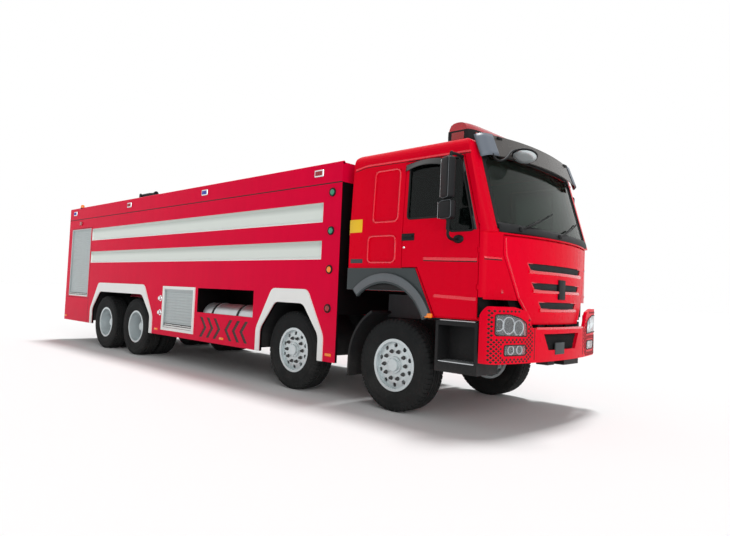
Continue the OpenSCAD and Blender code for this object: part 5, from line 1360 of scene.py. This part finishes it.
# %% Grille meshes
def mesh_between(z_low, z_high, half_low, half_high, place, gap=0.020, wire=0.0022):
    """Two families of slanted wires inside a four-sided slot, laid on a face: each wire is a straight
    line in the slot's own height and width, and its ends are cut to the slot."""
    h = z_high - z_low
    t = np.linspace(0, 1, 6)
    shapes = []
    for slope in (-1, 1):
        for y0 in np.arange(-half_high - h, half_high + h, gap):
            y = y0 + slope * h * t
            room = half_low + (half_high - half_low) * t - 0.004
            inside_slot = np.abs(y) < room
            if inside_slot.sum() < 2:
                continue
            a, b = t[inside_slot][0], t[inside_slot][-1]
            s = np.linspace(a, b, 4)
            shapes.append(tube(place(y0 + slope * h * s, z_low + h * s), wire, 4, (1, 0, 0)))
    return joined(*shapes)


slots = ((1.655, 1.730, 0.600, 0.655), (1.4525, 1.5275, 0.530, 0.585), (1.250, 1.325, 0.410, 0.465))
slot_mesh = joined(*[mesh_between(*s, lambda y, z: panel_point(y, z, -0.014)) for s in slots])
put("slot_mesh", slot_mesh, "front_flap", "grey_plastic")
lips = []
for za, zb, ha, hb in slots:
    o = round_outline([(-ha, za), (ha, za), (hb, zb), (-hb, zb)], 0.016, 4)
    lips.append(tube(panel_point(o[:, 0], o[:, 1], -0.003), 0.007, 8, (1, 0, 0), True))
put("slot_lips", joined(*lips), "front_flap", "edge_paint")
ledges = [swept(panel_point(np.linspace(-h - 0.03, h + 0.03, 41), np.full(41, z - 0.017), 0.0),
                ring(1, 12) * (0.019, 0.017), (1, 0, 0)) for z, top, h, wide in slots]
put("slot_ledges", joined(*ledges), "front_flap", "edge_paint")
apron_y, apron_z = np.meshgrid(np.linspace(-0.60, 0.60, 41), np.linspace(1.082, 1.170, 5), indexing="ij")
apron = surface(panel_point(apron_y, apron_z, -0.010))
put("flap_apron", apron, "front_flap", "front_paint", sheet=0.006)

# %% [markdown]
# The bumper's opening has the same wire mesh, with a dark sheet behind it. A blank plate holder stands at
# its lower edge, and a blank pad sits in the middle of the front panel.

# %% Bumper opening and blank plates
opening_gap, opening_wire = 0.024, 0.0026
bumper_mesh = mesh_between(0.812, 0.983, 0.330, 0.430, lambda y, z: bumper_point(y, z, -0.034),
                           opening_gap, opening_wire)
put("bumper_mesh", bumper_mesh, "chassis", "black_plastic")
back_o = round_outline([(-0.335, 0.806), (0.335, 0.806), (0.436, 0.989), (-0.436, 0.989)], 0.02, 4)
back_sheet = filled(back_o, 4, lambda y, z: bumper_point(y, z, -0.045))
put("bumper_mesh_back", back_sheet, "chassis", "rubber", sheet=trim_sheet)
plate = block((bumper_nose - 0.012, -0.195, 0.759), (bumper_nose + 0.004, 0.023, 0.889), 0.004)
put("plate_holder", plate, "chassis", "grey_plastic")
bare = rounded_block((0.042, 0.15, 0.22), 0.008, 3)
put("badge_pad", repeated(bare, [panel_point(0, 1.4675, -0.001)]), "front_flap", "black_plastic")

# %% [markdown]
# Pressed creases run down the front panel beside the grille and in under it. A crease is a low round bead
# half sunk in the skin, because the frame's panel is smooth. Small clear lamps and a fold with a dark
# groove sit on the cab's corners.

# %% Front panel lines and corner lamps
low_bead = ring(1, 8) * (0.009, 0.007)
lines = []
for s in (-1, 1):
    for path in ([(0.80, 1.36), (0.985, 1.79), (1.0, 1.97)], [(0.62, 1.13), (0.79, 1.345)]):
        q = np.array(path)
        t = np.linspace(0, len(q) - 1, 18)
        y = np.interp(t, np.arange(len(q)), q[:, 0])
        z = np.interp(t, np.arange(len(q)), q[:, 1])
        lines.append(swept(panel_point(s * (y - 0.045), z, -0.003), low_bead, (1, 0, 0)))
put("panel_creases", joined(*lines), "front_flap", "edge_paint")
dot = lathe([[0, 0.014], [0.012, 0.012], [0.020, 0.006], [0.022, 0.0]], 18)
facing = ((0, 1, 0), (0, 0, 1), (1, 0, 0))
dots = joined(*[placed(dot, facing, panel_point(s * 0.985, 1.41, -0.004)) for s in (-1, 1)])
put("corner_lamps", dots, "cab", "lamp_glass")
corner_y = np.linspace(1.0, 1.195, 16)
fold = swept(panel_point(corner_y, np.full(16, 1.752), -0.003), ring(1, 8) * (0.012, 0.009), (1, 0, 0))
put("corner_folds", both_sides(fold), "cab", "edge_paint")
line = swept(panel_point(corner_y, np.full(16, 1.736)), joint_line, (1, 0, 0))
put("corner_grooves", both_sides(line), "cab", "rubber")

# %% [markdown]
# Steps: the treads are bright pressed plates with rows of grip bumps. The plate is a rounded block, and
# the bumps are copies of one low dome.

# %% Step treads
step_y = high("cab_steps")[1]
bump = lathe([[0, 0.004], [0.006, 0.0034], [0.010, 0.0015], [0.012, 0.0]], 10)
treads, bumps = [], []
xa, xb = first_x + 0.665, first_x + 1.11
for za, ya, yb in ((0.655, step_y - 0.225, step_y - 0.004), (1.0885, step_y - 0.20, step_y - 0.012)):
    treads.append(block((xa, ya, za), (xb, yb, za + 0.010), 0.004))
    treads.append(block((xa, yb - 0.012, za - 0.042), (xb, yb, za + 0.008), 0.004))
    gx, gy = np.meshgrid(np.arange(xa + 0.03, xb - 0.02, 0.045), np.arange(ya + 0.03, yb - 0.02, 0.04),
                         indexing="ij")
    bumps.append(repeated(bump, np.stack([gx.ravel(), gy.ravel(), np.full(gx.size, za + 0.010)], -1)))
put("step_treads", both_sides(joined(*treads, *bumps)), "chassis", "silver_steel")

# %% [markdown]
# Roller shutters: the slats are in the frame. Here come the side guides, the bottom rail with a lift bar
# over a dark gap, and the header box's edge.

# %% Shutter rails and lift bars
side_shutters = ((body_rear + 0.205, body_rear + 1.250, 1.010, 2.500),
                 (second_x - 3.46, second_x - 2.48, 0.600, 1.270))
guides, bars, gaps = [], [], []
face, grips = body_y, 3
for xa, xb, za, zb in side_shutters:
    for x in (xa, xb):
        guides.append(block((x - 0.012, face - 0.022, za), (x + 0.012, face + 0.004, zb), 0.004))
    guides.append(block((xa, face - 0.022, zb - 0.022), (xb, face + 0.004, zb + 0.004), 0.004))
    gaps.append(block((xa + 0.01, face - 0.020, za + 0.030),
                      (xb - 0.01, face - 0.012, za + 0.075), 0.003))
    bars.append(block((xa + 0.012, face - 0.018, za + 0.002),
                      (xb - 0.012, face - 0.002, za + 0.034), 0.006))
    wide = (xb - xa - 0.08) / grips
    for x in xa + 0.04 + np.arange(grips) * wide:
        grip = [(x + 0.02, face - 0.014, za + 0.050), (x + 0.05, face + 0.006, za + 0.056),
                (x + wide - 0.05, face + 0.006, za + 0.056), (x + wide - 0.02, face - 0.014, za + 0.050)]
        bars.append(tube(smooth_path(grip, 16), 0.008, 8, (0, 0, 1)))
put("shutter_guides", both_sides(joined(*guides)), "chassis", "shutter_alu")
put("shutter_bars", both_sides(joined(*bars)), "chassis", "white_paint")
put("shutter_gaps", both_sides(joined(*gaps)), "chassis", "rubber")

# %% [markdown]
# Seams: the side is made of sheets, and the dark joint lines show from far off. Each is a thin flat strip
# that stands half a millimetre proud, because a real groove would have to be cut in the frame.

# %% Sheet joints
def strip(xa, za, xb, zb, wide=0.007, y=body_y):
    """A flat joint line between two points of the side."""
    return swept(np.linspace((xa, y, za), (xb, y, zb), 4), flat_line(wide, 0.0007), (0, 1, 0))


bottom = low("body_side_left")[2]
seam_x = body_rear + 1.32
joints = [strip(body_rear, parapet_z, body_front, parapet_z, 0.014), strip(seam_x, bottom, seam_x, 2.52),
          strip(body_rear + 0.05, 0.985, seam_x, 0.985), strip(body_rear + 0.19, 2.52, seam_x, 2.52),
          strip(body_front - 0.36, bottom, body_front - 0.36, 0.70, 0.004)]
put("sheet_joints", both_sides(joined(*joints)), "chassis", "rubber")
edge_y = body_y - 0.02
edge_bar = np.linspace((body_rear, edge_y, parapet_top), (body_front, edge_y, parapet_top), 4)
put("parapet_edges", both_sides(tube(edge_bar, 0.020, 12)), "chassis", "red_paint")

# %% [markdown]
# Behind the chevron cut-outs lies a dark field, which is painted shade, and the cylinder in the open
# locker is held by two straps. The field is a thin block behind the side plane, so that the cut-outs keep
# their depth.

# %% Chevron fields and straps
field = block((second_x - 2.27, body_y - 0.016, 0.525), (second_x - 0.84, body_y - 0.006, 0.855), 0.001)
put("chevron_fields", both_sides(field), "chassis", "cutout_shade")
strap = [[0.2232, -0.031], [0.2250, -0.031], [0.2250, 0.031], [0.2232, 0.031]]
straps = [lathe(strap, 48, (second_x + x, 0.960, 0.865), (1, 0, 0)) for x in (-2.0, -1.31)]
put("vessel_straps", both_sides(joined(*straps)), "chassis", "rubber")

# %% [markdown]
# Seats: a cushion and a backrest for each side, with bolsters that swell at the edges. A pad is a rounded
# block whose faces crown outwards: the push is largest in the middle and falls to nought at the edges,
# and two sewn channels dip in.

# %% Seats
def pad(size, crown, channels, steps=14):
    """A padded block: a rounded grid pushed out by the product of two cosines, less the channels' dips."""
    u = np.linspace(-1, 1, 2 * steps + 1)
    bent = np.sign(u) * np.abs(u) ** 0.72
    x, y = np.meshgrid(bent, bent, indexing="ij")
    edge = np.clip(1 - np.maximum(np.abs(x), np.abs(y)) ** 7, 0, 1) ** 0.5
    puff = crown * np.cos(x * np.pi / 2) ** 0.6 * np.cos(y * np.pi / 2) ** 0.6
    dip = sum(0.010 * np.exp(-((y - c) / 0.045) ** 2) for c in channels)
    top = size[2] / 2 * edge + puff - dip * edge
    pull = 1 - 0.03 * (1 - np.abs(y) ** 2) * np.abs(x) ** 8
    lower = -size[2] / 2 * edge
    upper_points = np.stack([x * size[0] / 2 * pull, y * size[1] / 2, top], -1)
    lower_points = np.stack([x * size[0] / 2 * pull, y * size[1] / 2, lower], -1)
    a, b = surface(upper_points), surface(lower_points)
    return joined(a, (b[0], [f[:, ::-1] for f in b[1]]))


floor_z = low("seats")[2]
tilt_back = math.radians(13)
lean_x, lean_z = math.sin(tilt_back), math.cos(tilt_back)
forward = ((-lean_x, 0, lean_z), (0, 1, 0), (lean_z, 0, lean_x))
seat_y, crown, channels = 0.620, 0.03, (-0.45, 0.45)
cushion_pad = pad((0.52, 0.49, 0.14), crown, channels)
rest_pad = pad((0.70, 0.47, 0.12), crown, channels)
for side, s in sides_of:
    cy = s * seat_y
    cushion = repeated(cushion_pad, [(first_x - 0.02, cy, floor_z + 0.37)])
    rest = placed(rest_pad, forward, (first_x - 0.30, cy, floor_z + 0.72))
    seat = put("seat_pads_" + side, joined(cushion, rest), "cab", "seat_cloth", sharp=60)
    if s < 0:
        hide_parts("seats")
    pedestal = block((first_x - 0.30, cy - 0.20, floor_z),
                     (first_x + 0.14, cy + 0.20, floor_z + 0.295), 0.02)
    put("seat_base_" + side, pedestal, "cab", "black_plastic")

# %% [markdown]
# Back of the truck: round reflectors on the underrun bar, and the guides, foot rail and lift bar of the
# rear shutter. They are blocks and one bent tube, like those of the side shutters.

# %% Rear details
rear_x, bar_z = body_rear, 0.51
puck = placed(lathe([[0, 0.010], [0.034, 0.010], [0.040, 0.005], [0.041, 0]], 24),
              ((0, 1, 0), (0, 0, 1), (-1, 0, 0)))
pucks = repeated(puck, [(rear_x + 0.030, s * 1.02, bar_z) for s in (-1, 1)])
put("rear_reflectors", pucks, "chassis", "lamp_lens")
(ya, yb), (za, zb) = (-0.90, 0.46), (1.13, 2.48)
skin_x, deep_x = rear_x - 0.004, rear_x + 0.02
rails = [block((skin_x, y - 0.012, za), (deep_x, y + 0.012, zb), 0.004) for y in (ya, yb)]
rails.append(block((skin_x, ya, zb - 0.02), (deep_x, yb, zb + 0.004), 0.004))
put("rear_guides", joined(*rails), "chassis", "shutter_alu")
grip = [(deep_x, -0.60, 1.19), (skin_x, -0.52, 1.20), (skin_x, 0.08, 1.20), (deep_x, 0.16, 1.19)]
foot = block((rear_x + 0.002, ya + 0.014, za + 0.002), (rear_x + 0.018, yb - 0.014, za + 0.035), 0.006)
put("rear_lift_bar", joined(tube(smooth_path(grip, 20), 0.010, 8), foot), "chassis", "white_paint")

# %% [markdown]
# The roof deck is tread plate: low lozenges in two crossing directions. A bump in the material would
# vanish at the deck's flat angle to the eye, so each lozenge is a turned profile with six sides, drawn
# out and copied over a grid.

# %% Deck grip
deck_low, deck_high = low("roof_deck"), high("roof_deck")
grip_pitch, slant, monitor_room = 0.12, 0.7071, 0.20
gx, gy = np.meshgrid(np.arange(deck_low[0] + 0.1, deck_high[0] - 0.05, grip_pitch),
                     np.arange(deck_low[1] + 0.08, deck_high[1] - 0.05, grip_pitch), indexing="ij")
points, faces = lathe([[0, 0.003], [0.6, 0.002], [1.0, 0.0]], 6)
lozenge = (points * (0.034, 0.011, 1.0), faces)
one_way = placed(lozenge, ((slant, slant, 0), (-slant, slant, 0), (0, 0, 1)))
other_way = placed(lozenge, ((slant, -slant, 0), (slant, slant, 0), (0, 0, 1)))
at = np.stack([gx.ravel(), gy.ravel(), np.full(gx.size, deck_high[2])], -1)
at = at[np.hypot(at[:, 0] - middle("monitor_base")[0], at[:, 1]) > monitor_room]
half_pitch = (grip_pitch / 2, grip_pitch / 2, 0)
put("deck_grip", joined(repeated(one_way, at), repeated(other_way, at + half_pitch)), "chassis",
    "deck_plate")
